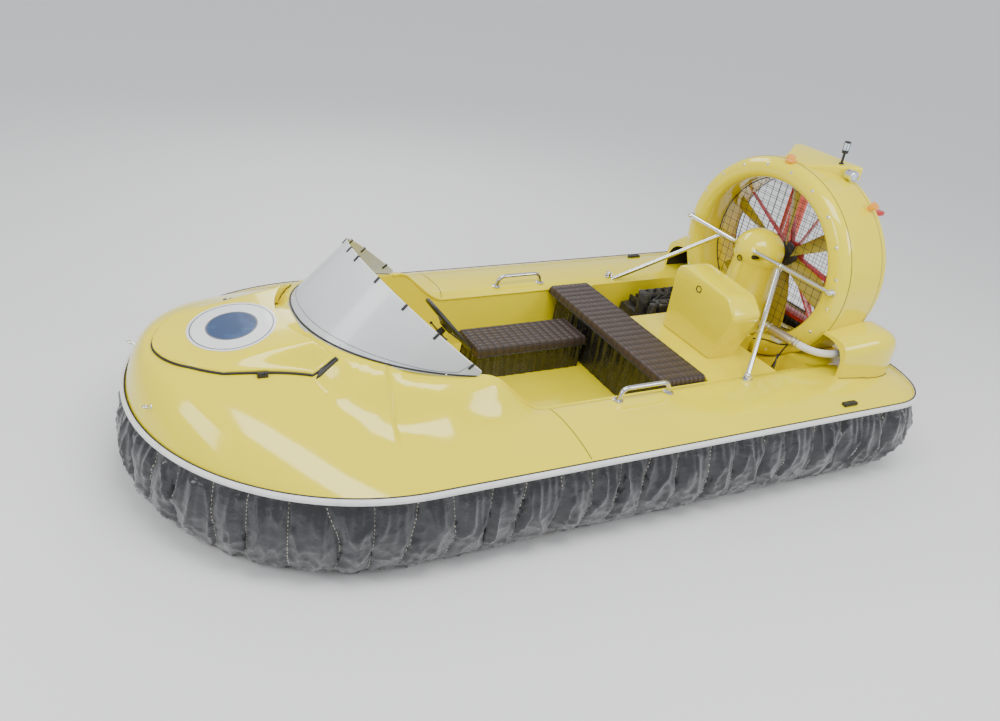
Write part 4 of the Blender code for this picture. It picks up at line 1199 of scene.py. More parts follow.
def hatch_lid():
    bm = bmesh.new()
    sheet(bm, 72, 64, lid_spot)
    rim = [edge for edge in bm.edges if edge.is_boundary]
    got = bmesh.ops.extrude_edge_only(bm, edges=rim)["geom"]
    low = {item for item in got if isinstance(item, bmesh.types.BMVert)}
    for vert in low:
        vert.co.z = deck_z(vert.co.x, vert.co.y) + LID_CLEAR
    corner = [edge for edge in rim if edge.is_valid]
    bmesh.ops.bevel(
        bm, geom=corner, offset=0.005, offset_type="OFFSET", segments=3, affect="EDGES",
        profile=0.5, material=-1,
    )
    rim = [edge for edge in bm.edges if edge.is_boundary]
    bmesh.ops.holes_fill(bm, edges=rim, sides=0)
    lid = as_piece("hatch_lid", bm, gel_skin, "bow_hatch", sharp=50.0)
    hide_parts("bow_hatch_lid")


def lid_rim(steps=40):
    """Plan line round the lid's edge, starting at the port rear corner."""
    line = [lid_spot(1.0, i / steps) for i in range(steps + 1)]
    line += [lid_spot(1.0 - i / steps, 1.0) for i in range(1, steps + 1)]
    line += [lid_spot(0.0, 1.0 - i / steps) for i in range(1, steps + 1)]
    return line


def lid_gasket():
    line = [Vector((p.x, p.y, deck_z(p.x, p.y) + 0.0045)) for p in lid_rim()]
    pipe("lid_gasket", line, 0.0062, seam_skin, round_steps=2)
    rear = [lid_spot(i / 50, 0.0) for i in range(51)]
    line = [Vector((p.x - 0.002, p.y, deck_z(p.x, p.y) + 0.003)) for p in rear]
    pipe("lid_rear_gasket", line, 0.0035, seam_skin, round_steps=2)


def lid_latch():
    for name, side in (("lid_latch_port", 1), ("lid_latch_starboard", -1)):
        low = lid_half(LATCH_X) + 0.0075
        z = deck_z(LATCH_X, low + 0.020)
        bm = bmesh.new()
        middle = side * (low + 0.0095)
        block(bm, (LATCH_X - 0.0235, middle - 0.0092, z + 0.001), (LATCH_X + 0.0235, middle + 0.0092, z + 0.018), 0.003)
        block(bm, (LATCH_X - 0.0235, middle - 0.0080, z + 0.014), (LATCH_X - 0.006, middle + 0.0092, z + 0.0258), 0.0025)
        block(bm, (LATCH_X + 0.006, middle - 0.0080, z + 0.014), (LATCH_X + 0.0235, middle + 0.0092, z + 0.0258), 0.0025)
        rod(bm, (LATCH_X - 0.008, middle, z + 0.019), (LATCH_X + 0.008, middle, z + 0.019), 0.0045, 12)
        latch = as_piece(name + "_catch", bm, plastic_skin)
        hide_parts(name)


LATCH_X = 1.487


def corner_vents():
    """Dark triangular vents behind the lid's rear corners."""
    for name, side in (("corner_vent_port", 1), ("corner_vent_starboard", -1)):
        bm = bmesh.new()
        flat = [(1.205, 0.298), (1.168, 0.348), (1.262, 0.352)]
        corners = [Vector((x, side * y, deck_z(x, y) + 0.004)) for x, y in flat]
        face = bm.faces.new([bm.verts.new(p) for p in corners])
        bmesh.ops.inset_region(bm, faces=[face], thickness=0.008, depth=0.0)
        bmesh.ops.inset_region(bm, faces=[face], thickness=0.001, depth=-0.004)
        got = bmesh.ops.extrude_face_region(bm, geom=list(bm.faces))["geom"]
        moved = [item for item in got if isinstance(item, bmesh.types.BMVert)]
        bmesh.ops.translate(bm, verts=moved, vec=(0, 0, -0.014))
        middle = (corners[0] + corners[1] + corners[2]) / 3
        for k in range(4):
            start = corners[1].lerp(corners[2], 0.2 + 0.2 * k)
            end = corners[0].lerp(middle, 0.35)
            end = end.lerp(start, 0.15)
            add_tube(bm, [start.lerp(middle, 0.12) + Vector((0, 0, 0.001)), end + Vector((0, 0, 0.001))], 0.0014, 6)
        ball(bm, middle + Vector((0, 0, 0.003)), 0.005, 12, 8, (1, 1, 0.6))
        vent = as_piece(name, bm, plastic_skin)


def roundel():
    """Plain round emblem: a white ring, grey rims and a dark blue disc."""
    centre = Vector((LID_TOP_X, 0.0, 0.0))

    def on_lid(out, turn, lift):
        x = centre.x + out * math.cos(turn)
        y = out * math.sin(turn)
        return Vector((x, y, lid_z(x, y) + lift))

    bands = (
        (0.000, 0.106, 1, 0.0012),
        (0.106, 0.114, 2, 0.0013),
        (0.114, 0.178, 0, 0.0012),
        (0.178, 0.184, 2, 0.0013),
        (0.184, 0.195, 0, 0.0012),
    )
    bm = bmesh.new()
    for low, high, index, lift in bands:
        before = len(bm.faces)
        sheet(bm, 120, 4, lambda u, v: on_lid(low + (high - low) * v, 2 * math.pi * u, lift))
        paint(bm, before, index)
    bmesh.ops.remove_doubles(bm, verts=bm.verts, dist=1e-5)
    for face in bm.faces:
        if face.normal.z < 0.0:
            face.normal_flip()
    emblem = as_piece(
        "hood_roundel", bm, [decal_white_skin, decal_blue_skin, decal_line_skin], "bow_hatch", tidy=False
    )


hatch_lid()
lid_gasket()
lid_latch()
corner_vents()
roundel()


EYE_AT = (1.928, 0.247)
EYE_OUT = (0.80, 0.44, 0.40)


def tow_eyes():
    """Chrome towing eyes: a plate, a stem and a ring each."""
    for name, side in (("tow_eye_port", 1), ("tow_eye_starboard", -1)):
        foot = Vector((EYE_AT[0], EYE_AT[1] * side, deck_z(*EYE_AT)))
        out = Vector((EYE_OUT[0], EYE_OUT[1] * side, EYE_OUT[2])).normalized()
        bm = bmesh.new()
        turned(
            bm, [(-0.004, 0.0105), (0.0010, 0.0100), (0.0030, 0.0085), (0.0034, 0.0058), (0.016, 0.0056)],
            foot, out, 24, False,
        )
        across = out.cross(Vector((0, 0, 1))).normalized()
        middle = foot + out * 0.026
        ring = [
            middle + (out * math.cos(a) + across * math.sin(a)) * 0.012
            for a in (2 * math.pi * i / 28 for i in range(29))
        ]
        add_tube(bm, ring, 0.0040, 12, False)
        eye = as_piece(name + "_ring", bm, chrome_skin)
        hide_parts(name)


tow_eyes()


# Windscreen
ARCH_STEPS = 90


def screen_sheet():
    bm = bmesh.new()
    low = 0.012
    span = 0.976
    for out in (0.0005, 0.0055):
        sheet(bm, ARCH_STEPS, 26, lambda u, v: screen_point(math.pi * (low + span * u), v, out))
    rims = [edge for edge in bm.edges if edge.is_boundary]
    bmesh.ops.bridge_loops(bm, edges=rims)
    for vert in bm.verts:
        if vert.co.z < 0.72:
            vert.co.z = max(vert.co.z, deck_z(vert.co.x, vert.co.y) + 0.0004)
    screen = as_piece("windscreen_sheet", bm, film, sharp=55.0)
    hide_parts("windscreen")


def screen_line(t, low=0.02, high=0.98, out=0.0, steps=90):
    return [screen_point(math.pi * (low + (high - low) * i / steps), t, out) for i in range(steps + 1)]


def screen_trims():
    base = [p + Vector((0, 0, 0.004)) for p in screen_line(0.035, 0.014, 0.986, 0.004)]
    pipe("screen_base_seal", base, 0.0045, seam_skin, round_steps=2)
    pipe("screen_edge_bead", screen_line(1.0, 0.016, 0.984, 0.003), 0.0034, rail_skin, round_steps=2)
    outline_points = []
    for i in range(81):
        a = 0.060 + 0.88 * i / 80
        edge = min(a - 0.060, 0.94 - a)
        lift = 0.135 + 0.62 * math.exp(-edge / 0.012) * 0.3
        outline_points.append(screen_point(math.pi * a, lift, 0.0062))
    port_side = []
    for i in range(25):
        t = 1.0 - 0.68 * i / 24
        port_side.append(screen_point(math.pi * (0.048 + 0.012 * (1 - t)), t, 0.0062))
    line = smooth_path(port_side[::4] + outline_points[1:-1:4], 4)
    pipe("screen_pane_line", line, 0.0011, decal_line_skin, round_steps=1)


def screen_clips():
    """Black edge clips over the arch, and the screws of the base strip."""
    bm = bmesh.new()
    for share in CLIP_SHARES:
        for a in (share, 1.0 - share):
            here = screen_point(math.pi * a, 1.0, 0.003)
            below = screen_point(math.pi * a, 0.90, 0.003)
            beside = screen_point(math.pi * (a + 0.004), 1.0, 0.003)
            down = (below - here).normalized()
            along = (beside - here).normalized()
            out = along.cross(down).normalized()
            turn = Matrix((down, along, out)).transposed().to_4x4()
            matrix = Matrix.Translation(here + down * 0.011) @ turn @ Matrix.Diagonal((0.034, 0.012, 0.014, 1.0))
            made = bmesh.ops.create_cube(bm, size=1.0, matrix=matrix)["verts"]
            edges = {edge for vert in made for edge in vert.link_edges}
            bmesh.ops.bevel(
                bm, geom=list(edges), offset=0.003, offset_type="OFFSET", segments=2,
                affect="EDGES", profile=0.5, material=-1,
            )
    clips = as_piece("screen_clips", bm, plastic_skin)
    bm = bmesh.new()
    for share in SCREW_SHARES:
        for a in (share, 1.0 - share):
            here = screen_point(math.pi * a, 0.085, 0.006)
            ball(bm, here, 0.0055, 12, 8, (1, 1, 0.55))
    screws = as_piece("screen_screws", bm, chrome_skin)


CLIP_SHARES = (0.045, 0.1625, 0.265, 0.3675, 0.47)
SCREW_SHARES = (0.075, 0.20, 0.315, 0.43)

screen_sheet()
screen_trims()
screen_clips()


# Steering wheel and its column
def wheel_axes():
    """Unit vectors of the wheel: out along the axis to the driver, up the rim, and across."""
    out = Vector((-math.cos(WHEEL_RAKE), 0.0, math.sin(WHEEL_RAKE)))
    up = Vector((math.sin(WHEEL_RAKE), 0.0, math.cos(WHEEL_RAKE)))
    return out, up, up.cross(out).normalized()


def steering_wheel():
    out, up, across = wheel_axes()
    centre = Vector(WHEEL_AT)
    rim = WHEEL_R - 0.013
    bm = bmesh.new()
    ring = [
        centre + (up * math.cos(a) + across * math.sin(a)) * rim
        for a in (2 * math.pi * i / 72 for i in range(73))
    ]
    add_tube(bm, ring, 0.0128, 14, False)
    for turn in (90.0, 210.0, 330.0):
        a = math.radians(turn)
        way = up * math.cos(a) + across * math.sin(a)
        side = out.cross(way).normalized()
        path = []
        for i in range(9):
            t = i / 8
            dip = -0.022 * (1.0 - ease(t))
            wide = 0.026 - 0.012 * math.sin(math.pi * min(1.0, 0.15 + t * 0.8))
            at = centre + way * (0.030 + (rim - 0.034) * t) + out * dip
            path.append((at, wide))
        rows = []
        for at, wide in path:
            row = []
            for k in range(12):
                b = 2 * math.pi * k / 12
                row.append(at + side * wide * math.cos(b) + out * 0.0052 * math.sin(b))
            rows.append(row)
        skin_rings(bm, rows)
        for spot in (0.42, 0.60):
            hole = centre + way * (rim * spot) + out * -0.012
            rod(bm, hole - out * 0.001, hole + out * 0.0052, 0.0065, 12, rim=0.001)
    turned(
        bm, [(-0.032, 0.026), (-0.030, 0.041), (-0.012, 0.044), (-0.004, 0.036), (0.002, 0.026), (0.004, 0.0)],
        centre, out, 36, False,
    )
    for i in range(6):
        a = 2 * math.pi * i / 6
        at = centre + (up * math.cos(a) + across * math.sin(a)) * 0.033 - out * 0.008
        ball(bm, at, 0.0035, 8, 6)
    wheel = as_piece("steering_wheel_rim", bm, plastic_skin, "steering_wheel", sharp=45.0)
    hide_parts("steering_wheel")


def steering_column():
    out, up, across = wheel_axes()
    top = Vector(WHEEL_AT) - out * 0.034
    foot = Vector(WHEEL_AT) - out * COLUMN_LONG
    bm = bmesh.new()
    profile = [
        (0.0, 0.0), (0.0, 0.016), (0.020, 0.019), (0.060, 0.019), (0.066, 0.024), (0.100, 0.024),
        (0.106, 0.017), (0.200, 0.017), (0.204, 0.021), (0.212, 0.017), (0.300, 0.016),
        ((top - foot).length - 0.012, 0.016), ((top - foot).length - 0.010, 0.030),
        ((top - foot).length, 0.034), ((top - foot).length, 0.0),
    ]
    turned(bm, profile, top, -out, 28, False)
    pedal = top - out * 0.225 + across * 0.055 + Vector((0, 0, -0.02))
    block(bm, pedal - Vector((0.012, 0.02, 0.05)), pedal + Vector((0.006, 0.02, 0.03)), 0.004)
    rod(bm, pedal, top - out * 0.215, 0.005, 10)
    for side in (1, -1):
        root = top - out * 0.030
        end = root + across * side * 0.090 + up * 0.012
        rod(bm, root, end, 0.0042, 10, rim=0.001)
        ball(bm, end, 0.0085, 12, 8)
    column = as_piece("steering_column_tube", bm, plastic_skin)
    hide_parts("steering_column")
    bm = bmesh.new()
    lock = top - out * 0.050 + across * 0.026
    rod(bm, lock, lock + across * 0.014, 0.011, 18, rim=0.002)
    switch = top - out * 0.085 - across * 0.026
    rod(bm, switch, switch - across * 0.010, 0.007, 14, rim=0.0015)
    keys = as_piece("column_lock", bm, chrome_skin)


COLUMN_LONG = 0.4359 + 0.034

steering_wheel()
steering_column()


# Benches: black gathered sides, dark brown quilted tops
def quilted_top(name, bounds, cells, plump, turned_cells=False):
    """Padded seat top inside its box, puffed between the quilt's stitch lines."""
    low, high = bounds
    bm = bmesh.new()
    nx = max(12, int((high.x - low.x) / 0.0075))
    ny = max(12, int((high.y - low.y) / 0.0075))
    rim = 0.016
    tall = high.z - low.z
    mid = (low + high) / 2

    def place(u, v):
        sx, sy = 2 * u - 1, 2 * v - 1
        x = mid.x + sx * (high.x - low.x) / 2
        y = mid.y + sy * (high.y - low.y) / 2
        inside = min((1 - abs(sx)) * (high.x - low.x) / 2, (1 - abs(sy)) * (high.y - low.y) / 2)
        drop = rim * (1.0 - math.sqrt(max(0.0, 1.0 - max(0.0, 1.0 - inside / rim) ** 2)))
        cx = abs(math.sin(math.pi * (x - mid.x) / cells[0]))
        cy = abs(math.sin(math.pi * (y - mid.y) / cells[1]))
        puff = plump * (cx * cy) ** 0.35
        fade = min(1.0, inside / 0.02)
        z = high.z - drop - plump * fade + puff * fade
        return Vector((x, y, z))

    sheet(bm, nx, ny, place)
    rim_edges = [edge for edge in bm.edges if edge.is_boundary]
    got = bmesh.ops.extrude_edge_only(bm, edges=rim_edges)["geom"]
    for item in got:
        if isinstance(item, bmesh.types.BMVert):
            item.co.z = low.z
    rim_edges = [edge for edge in bm.edges if edge.is_boundary]
    bmesh.ops.holes_fill(bm, edges=rim_edges, sides=0)
    uv = bm.loops.layers.uv.new("quilt")
    for face in bm.faces:
        for loop in face.loops:
            p = loop.vert.co
            loop[uv].uv = ((p.x - mid.x) / cells[0], (p.y - mid.y) / cells[1])
    return as_piece(name, bm, seat_top_skin, tidy=False, sharp=60.0)


def gathered_side(name, low, high, folds, depth, round_ends=0.0):
    """Black cloth round a bench base, drawn into soft upright folds under the pad."""
    bm = bmesh.new()
    plan = [Vector(p) for p in rounded([(low.x, low.y), (high.x, low.y), (high.x, high.y), (low.x, high.y)], max(0.012, round_ends))]
    walk = []
    total = 0.0
    spots = [0.0]
    for i in range(len(plan)):
        total += (plan[(i + 1) % len(plan)] - plan[i]).length
        spots.append(total)
    steps = int(total / 0.006)
    i = 0
    for k in range(steps):
        want = total * k / steps
        while spots[i + 1] < want:
            i += 1
        a, b = plan[i], plan[(i + 1) % len(plan)]
        t = (want - spots[i]) / max(1e-9, spots[i + 1] - spots[i])
        p = a.lerp(b, t)
        d = (b - a).normalized()
        walk.append((p, Vector((d.y, -d.x)), want))
    rows = []
    levels = 16
    for j in range(levels + 1):
        t = j / levels
        z = low.z + (high.z - low.z) * t
        row = []
        for p, out, want in walk:
            beat = want * folds
            fold = math.sin(beat + 0.9 * math.sin(beat * 0.37)) + 0.6 * math.sin(beat * 2.3 + 3.0 * t)
            fold += 0.4 * math.sin(beat * 0.61 + 4.0 * t)
            amount = depth * (0.25 + 0.75 * t ** 1.5) * (1.0 - 0.8 * (t > 0.97))
            q = p - out * (depth * 1.3 - amount * fold * 0.5)
            row.append(Vector((q.x, q.y, z)))
        rows.append(row)
    skin_rings(bm, rows)
    return as_piece(name, bm, seat_side_skin, sharp=70.0)


def bench(label, node_base, node_pad, base, pad, cells, folds, round_ends):
    side = gathered_side(label + "_side", *base, folds, 0.010, round_ends)
    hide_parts(node_base)
    top = quilted_top(label + "_top", pad, cells, 0.005)
    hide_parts(node_pad)


LONG_BASE = (Vector((-0.492, -0.322, FLOOR_Z + 0.001)), Vector((0.194, -0.108, 0.336)))
LONG_PAD = (Vector((-0.491, -0.327, 0.331)), Vector((0.201, -0.103, 0.386)))
CROSS_BASE = (Vector((-0.739, -0.492, FLOOR_Z + 0.001)), Vector((-0.508, 0.492, 0.450)))
CROSS_PAD = (Vector((-0.753, -0.523, 0.4455)), Vector((-0.491, 0.523, 0.4945)))

bench("long_bench", "long_bench_base", "long_bench_pad", LONG_BASE, LONG_PAD, (0.046, 0.0275), 105.0, 0.014)
bench("cross_bench", "cross_bench_base", "cross_bench_pad", CROSS_BASE, CROSS_PAD, (0.0275, 0.0465), 95.0, 0.020)


def bench_piping():
    lines = []
    for low, high, bend in ((*LONG_PAD, 0.016), (*CROSS_PAD, 0.035)):
        flat = [(low.x, low.y), (high.x, low.y), (high.x, high.y), (low.x, high.y)]
        z = low.z + 0.002
        lines.append([Vector((x, y, z)) for x, y in rounded(flat, bend, 6)])
    pipe("bench_piping", lines, 0.0034, seat_side_skin, closed=True)


bench_piping()


# Stainless grab handles on the side decks
def grab_handles():
    for name, side in (("grab_handle_port", 1), ("grab_handle_starboard", -1)):
        y = 0.590 * side
        z = deck_z(-0.31, abs(y))
        corners = [(-0.160, y, z - 0.004), (-0.178, y, z + 0.062), (-0.443, y, z + 0.062), (-0.461, y, z - 0.004)]
        bm = bmesh.new()
        add_tube(bm, bent(corners, 0.035, 8), 0.0113, 20)
        for x in (-0.1608, -0.4602):
            turned(bm, [(0.0, 0.0), (0.0, 0.024), (0.003, 0.0245), (0.0055, 0.020), (0.006, 0.012)],
                   (x, y, deck_z(x, abs(y)) + 0.0002), (0, 0, 1), 28, False)
            for dx in (-0.017, 0.017):
                ball(bm, (x + dx, y, deck_z(x, abs(y)) + 0.0045), 0.0035, 10, 6, (1, 1, 0.6))
        handle = as_piece(name + "_tube", bm, steel_skin)
        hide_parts(name)


grab_handles()


# Engine cover with its black grommet
COVER = [(-0.045, 0.440), (0.325, 0.440), (0.415, 0.735), (0.335, 0.815), (-0.055, 0.840)]


def engine_cover():
    bm = bmesh.new()
    flat = rounded(COVER, [0.0, 0.0, 0.03, 0.03, 0.075], 10)
    slab(bm, [(y, z + 0.0004 if z < 0.45 else z) for y, z in flat], -1.135, -0.950, "x", 0.014, 4)
    cover = as_piece("engine_cover_shell", bm, gel_skin, sharp=50.0)
    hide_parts("engine_cover")
    bm = bmesh.new()
    ring = [(-0.004, 0.0), (-0.001, 0.012), (0.0015, 0.0150), (0.003, 0.0175), (0.0015, 0.0200), (-0.002, 0.0210)]
    turned(bm, ring, (-0.950, 0.137, 0.763), (1, 0, 0), 32, False)
    grommet = as_piece("cover_grommet", bm, plastic_skin)


def engine_parts():
    """Black engine block with ribs, rocker boxes, bolts and a cover plate over its one plain block."""
    bm = bmesh.new()
    block(bm, (-1.383, -0.510, 0.205), (-1.032, -0.205, 0.345), 0.010)
    for i in range(7):
        x = -1.360 + 0.044 * i
        block(bm, (x, -0.500, 0.340), (x + 0.012, -0.215, 0.392), 0.003)
    block(bm, (-1.372, -0.470, 0.335), (-1.090, -0.245, 0.378), 0.012)
    for y in (-0.425, -0.290):
        block(bm, (-1.350, y - 0.042, 0.375), (-1.110, y + 0.042, 0.438), 0.014, 3)
        for i in range(4):
            rod(bm, (-1.325 + 0.062 * i, y, 0.430), (-1.325 + 0.062 * i, y, 0.452), 0.011, 14, rim=0.002)
    rod(bm, (-1.070, -0.360, 0.330), (-1.070, -0.360, 0.470), 0.034, 28, rim=0.005)
    rod(bm, (-1.070, -0.360, 0.462), (-1.070, -0.360, 0.474), 0.024, 24, rim=0.003)
    rod(bm, (-1.048, -0.250, 0.300), (-1.048, -0.250, 0.455), 0.022, 24, rim=0.004)
    for k in range(6):
        a = 2 * math.pi * k / 6
        ball(bm, (-1.070 + 0.029 * math.cos(a), -0.360 + 0.029 * math.sin(a), 0.4655), 0.0036, 8, 6)
    engine = as_piece("engine_top", bm, engine_skin)
    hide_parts("engine_block")
    bm = bmesh.new()
    for y in (-0.425, -0.290):
        for x in (-1.345, -1.115):
            for dy in (-0.032, 0.032):
                rod(bm, (x, y + dy, 0.425), (x, y + dy, 0.4425), 0.0050, 6, rim=0.0008)
    rod(bm, (-1.365, -0.3575, 0.400), (-1.095, -0.3575, 0.400), 0.0060, 12)
    bolts = as_piece("engine_bolts", bm, cast_skin)
    leads = []
    for i in range(4):
        x = -1.325 + 0.062 * i
        leads.append(smooth_path([(x, -0.425, 0.448), (x + 0.01, -0.40, 0.468), (x + 0.02, -0.36, 0.440), (-1.10, -0.350, 0.405)], 8))
    leads.append(smooth_path([(-1.050, -0.250, 0.450), (-1.10, -0.235, 0.465), (-1.20, -0.245, 0.450), (-1.30, -0.262, 0.430)], 8))
    pipe("engine_leads", leads, 0.0048, plastic_skin)


# Tower and ball fairing, with a front hole, two side slots and the struts' clamps
TOWER_X = -1.462
BEARING_X = -1.600
TOWER_PLAN = (
    (0.4404, -1.410, 0.165, 0.150),
    (0.470, -1.418, 0.158, 0.145),
    (0.55, -1.440, 0.140, 0.132),
    (0.70, -1.455, 0.132, 0.124),
    (0.84, -1.462, 0.124, 0.116),
    (0.90, -1.462, 0.100, 0.100),
)
BALL_Z = 0.888
BALL_R = 0.133


def ball_tower():
    bm = bmesh.new()
    rows = []
    for z, at, rx, ry in TOWER_PLAN:
        rows.append([
            Vector((at + rx * math.cos(a), ry * math.sin(a), z))
            for a in (2 * math.pi * i / 72 for i in range(72))
        ])
    skin_rings(bm, rows)
    tower = as_piece("tower_fairing", bm, gel_skin, sharp=50.0)
    form = bmesh.new()
    ball(form, (TOWER_X, 0.0, BALL_Z), BALL_R, 72, 40)
    nose = bmesh.new()
    rod(nose, (BEARING_X, 0, DUCT_Z), (BEARING_X + 0.06, 0, DUCT_Z), 0.034, 36)
    hole = bmesh.new()
    rod(hole, (TOWER_X + 0.080, 0.0, 0.858), (TOWER_X + 0.16, 0.0, 0.858), 0.0150, 28)
    slots = bmesh.new()
    for side in (1, -1):
        block(slots, (-1.400, min(side * 0.02, side * 0.2), 0.877), (-1.345, max(side * 0.02, side * 0.2), 0.905), 0.008)
    carve(tower, [("UNION", form), ("UNION", nose), ("DIFFERENCE", hole), ("DIFFERENCE", slots)])
    soften(tower)
    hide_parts("ball_tower")
    bm = bmesh.new()
    at = Vector((TOWER_X, 0.0, 0.858))
    turned(bm, [(0.128, 0.0140), (0.1325, 0.0155), (0.1335, 0.0175), (0.1305, 0.0190)], at, (1, 0, 0), 28, False)
    rod(bm, at + Vector((0.082, 0, 0)), at + Vector((0.088, 0, 0)), 0.014, 20)
    for side in (1, -1):
        block(bm, (-1.398, side * 0.060 - 0.012, 0.879), (-1.350, side * 0.060 + 0.012, 0.903), 0.004)
    plug = as_piece("tower_hole_trim", bm, plastic_skin)


engine_cover()
engine_parts()
ball_tower()


# Stainless struts with end lugs and clamps
def lug(bm, at, along, wide=0.014):
    """Flattened tube end with a bolt through it."""
    along = Vector(along).normalized()
    ball(bm, at, wide, 18, 12)
    side = along.cross(Vector((0, 0, 1))).normalized()
    rod(bm, Vector(at) - side * (wide + 0.002), Vector(at) + side * (wide + 0.002), wide * 0.42, 6, rim=0.001)


def struts():
    for name, side in (("port", 1), ("starboard", -1)):
        start = Vector((-1.340, 0.082 * side, 0.928))
        end = Vector((-1.424, 0.521 * side, 0.894))
        along = (end - start).normalized()
        bm = bmesh.new()
        rod(bm, start, end, 0.0125, 28)
        ball(bm, start, 0.0135, 18, 12)
        ball(bm, end, 0.0145, 18, 12)
        rod(bm, (-1.400, 0.523 * side, 0.893), (-1.4413, 0.523 * side, 0.893), 0.0115, 20)
        rod(bm, (-1.4345, 0.523 * side, 0.893), (-1.4412, 0.523 * side, 0.893), 0.0200, 24, rim=0.002)
        rod(bm, (-1.4055, 0.523 * side, 0.893), (-1.3985, 0.523 * side, 0.893), 0.0115, 6, rim=0.001)
        clamp = start + along * 0.155
        rod(bm, clamp - along * 0.011, clamp + along * 0.011, 0.0150, 24, rim=0.0015)
        top = as_piece("strut_" + name + "_top", bm, chrome_skin)
        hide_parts("strut_ring_" + name)

        foot = Vector((-0.960, 0.586 * side, 0.448))
        head = Vector((-1.378, 0.228 * side, 0.889))
        along = (head - foot).normalized()
        foot_z = deck_z(foot.x, abs(foot.y))
        bm = bmesh.new()
        rod(bm, foot + along * 0.014, head, 0.0125, 28)
        lug(bm, head, along, 0.0142)
        low = Vector((foot.x, foot.y, foot_z))
        block(bm, low + Vector((-0.026, -0.017, 0.0004)), low + Vector((0.026, 0.017, 0.0045)), 0.0015)
        for dy in (-0.0145, 0.0145):
            block(bm, low + Vector((-0.012, dy - 0.0018, 0.003)), low + Vector((0.012, dy + 0.0018, 0.030)), 0.001)
        rod(bm, low + Vector((0, -0.019, 0.020)), low + Vector((0, 0.019, 0.020)), 0.0052, 6, rim=0.001)
        ball(bm, low + Vector((0, 0, 0.020)), 0.0135, 18, 12)
        for dx in (-0.020, 0.020):
            rod(bm, low + Vector((dx, 0, 0.004)), low + Vector((dx, 0, 0.0085)), 0.0048, 6, rim=0.0008)
        stay = as_piece("strut_" + name + "_stay", bm, chrome_skin)
        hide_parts("strut_foot_" + name)


struts()


# Muffler, wrapped hose, white bottle and the thin cables below them
MUFFLER_START = Vector((-1.345, 0.285, 0.575))
MUFFLER_END = Vector((-1.375, 0.470, 0.575))
HOSE_BENDS = [(-1.3753, 0.4712, 0.575), (-1.39, 0.55, 0.573), (-1.46, 0.605, 0.573), (-1.7388, 0.612, 0.576)]


def clamp_band(bm, at, along, radius, wide=0.009):
    """Worm clamp: a thin band with its screw housing."""
    along = Vector(along).normalized()
    at = Vector(at)
    turned(
        bm, [(-wide / 2, radius - 0.002), (-wide / 2, radius + 0.0014), (wide / 2, radius + 0.0014), (wide / 2, radius - 0.002)],
        at, along, 28, False,
    )
    up = Vector((0, 0, 1))
    rod(bm, at + up * (radius + 0.003) - along.cross(up) * 0.007, at + up * (radius + 0.003) + along.cross(up) * 0.007, 0.0036, 10)


def exhaust():
    along = (MUFFLER_END - MUFFLER_START).normalized()
    long = (MUFFLER_END - MUFFLER_START).length
    bm = bmesh.new()
    turned(
        bm,
        [(0.0, 0.0), (0.0, 0.021), (0.002, 0.0245), (0.010, 0.0258), (long - 0.010, 0.0258), (long - 0.002, 0.0235),
         (long, 0.0215), (long, 0.0)],
        MUFFLER_START, along, 40, False,
    )
    pipe_body = as_piece("muffler_can", bm, pipe_skin, sharp=50.0)
    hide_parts("muffler")
    bm = bmesh.new()
    for share in (0.05, 0.16, 0.93):
        clamp_band(bm, MUFFLER_START.lerp(MUFFLER_END, share), along, 0.0262)
    path = [Vector(p) for p in bent(HOSE_BENDS, 0.05, 8)]
    clamp_band(bm, path[0] + (path[1] - path[0]).normalized() * 0.014, path[1] - path[0], 0.0208)
    bands = as_piece("exhaust_clamps", bm, chrome_skin)

    fine = smooth_path(path, 5)
    bm = bmesh.new()
    side = None
    rows = []
    walked = 0.0
    for i, point in enumerate(fine):
        ahead = (fine[min(i + 1, len(fine) - 1)] - fine[max(i - 1, 0)]).normalized()
        side = ahead.orthogonal().normalized() if side is None else (side - ahead * side.dot(ahead)).normalized()
        other = ahead.cross(side)
        walked += (point - fine[max(i - 1, 0)]).length
        row = []
        for k in range(22):
            a = 2 * math.pi * k / 22
            lap = ((walked / 0.024 + k / 22) % 1.0)
            r = 0.0188 + 0.0012 * lap ** 0.6
            row.append(point + (side * math.cos(a) + other * math.sin(a)) * r)
        rows.append(row)
    skin_rings(bm, rows)
    hose = as_piece("exhaust_wrap", bm, wrap_skin, sharp=60.0)
    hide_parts("exhaust_hose")

    bm = bmesh.new()
    at = Vector((-1.3664, 0.3244, 0.534))
    turned(
        bm,
        [(0.0, 0.0), (0.0, 0.008), (0.008, 0.009), (0.012, 0.0165), (0.016, 0.0172), (0.056, 0.0172), (0.062, 0.014),
         (0.0701, 0.008), (0.0701, 0.0)],
        at, (-0.160, 0.987, 0.0), 32, False,
    )
    bottle = as_piece("white_bottle_shell", bm, canister_skin, sharp=45.0)
    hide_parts("white_bottle")

    leads = [
        smooth_path([(-1.345, 0.240, 0.470), (-1.352, 0.300, 0.500), (-1.372, 0.380, 0.515), (-1.390, 0.430, 0.540)], 8),
        smooth_path([(-1.385, 0.425, 0.540), (-1.365, 0.415, 0.480), (-1.345, 0.410, 0.400), (-1.335, 0.400, 0.300)], 8),
        smooth_path([(-1.360, 0.405, 0.470), (-1.320, 0.440, 0.400), (-1.300, 0.450, 0.300)], 8),
    ]
    pipe("well_cables", leads, 0.0042, plastic_skin)


exhaust()


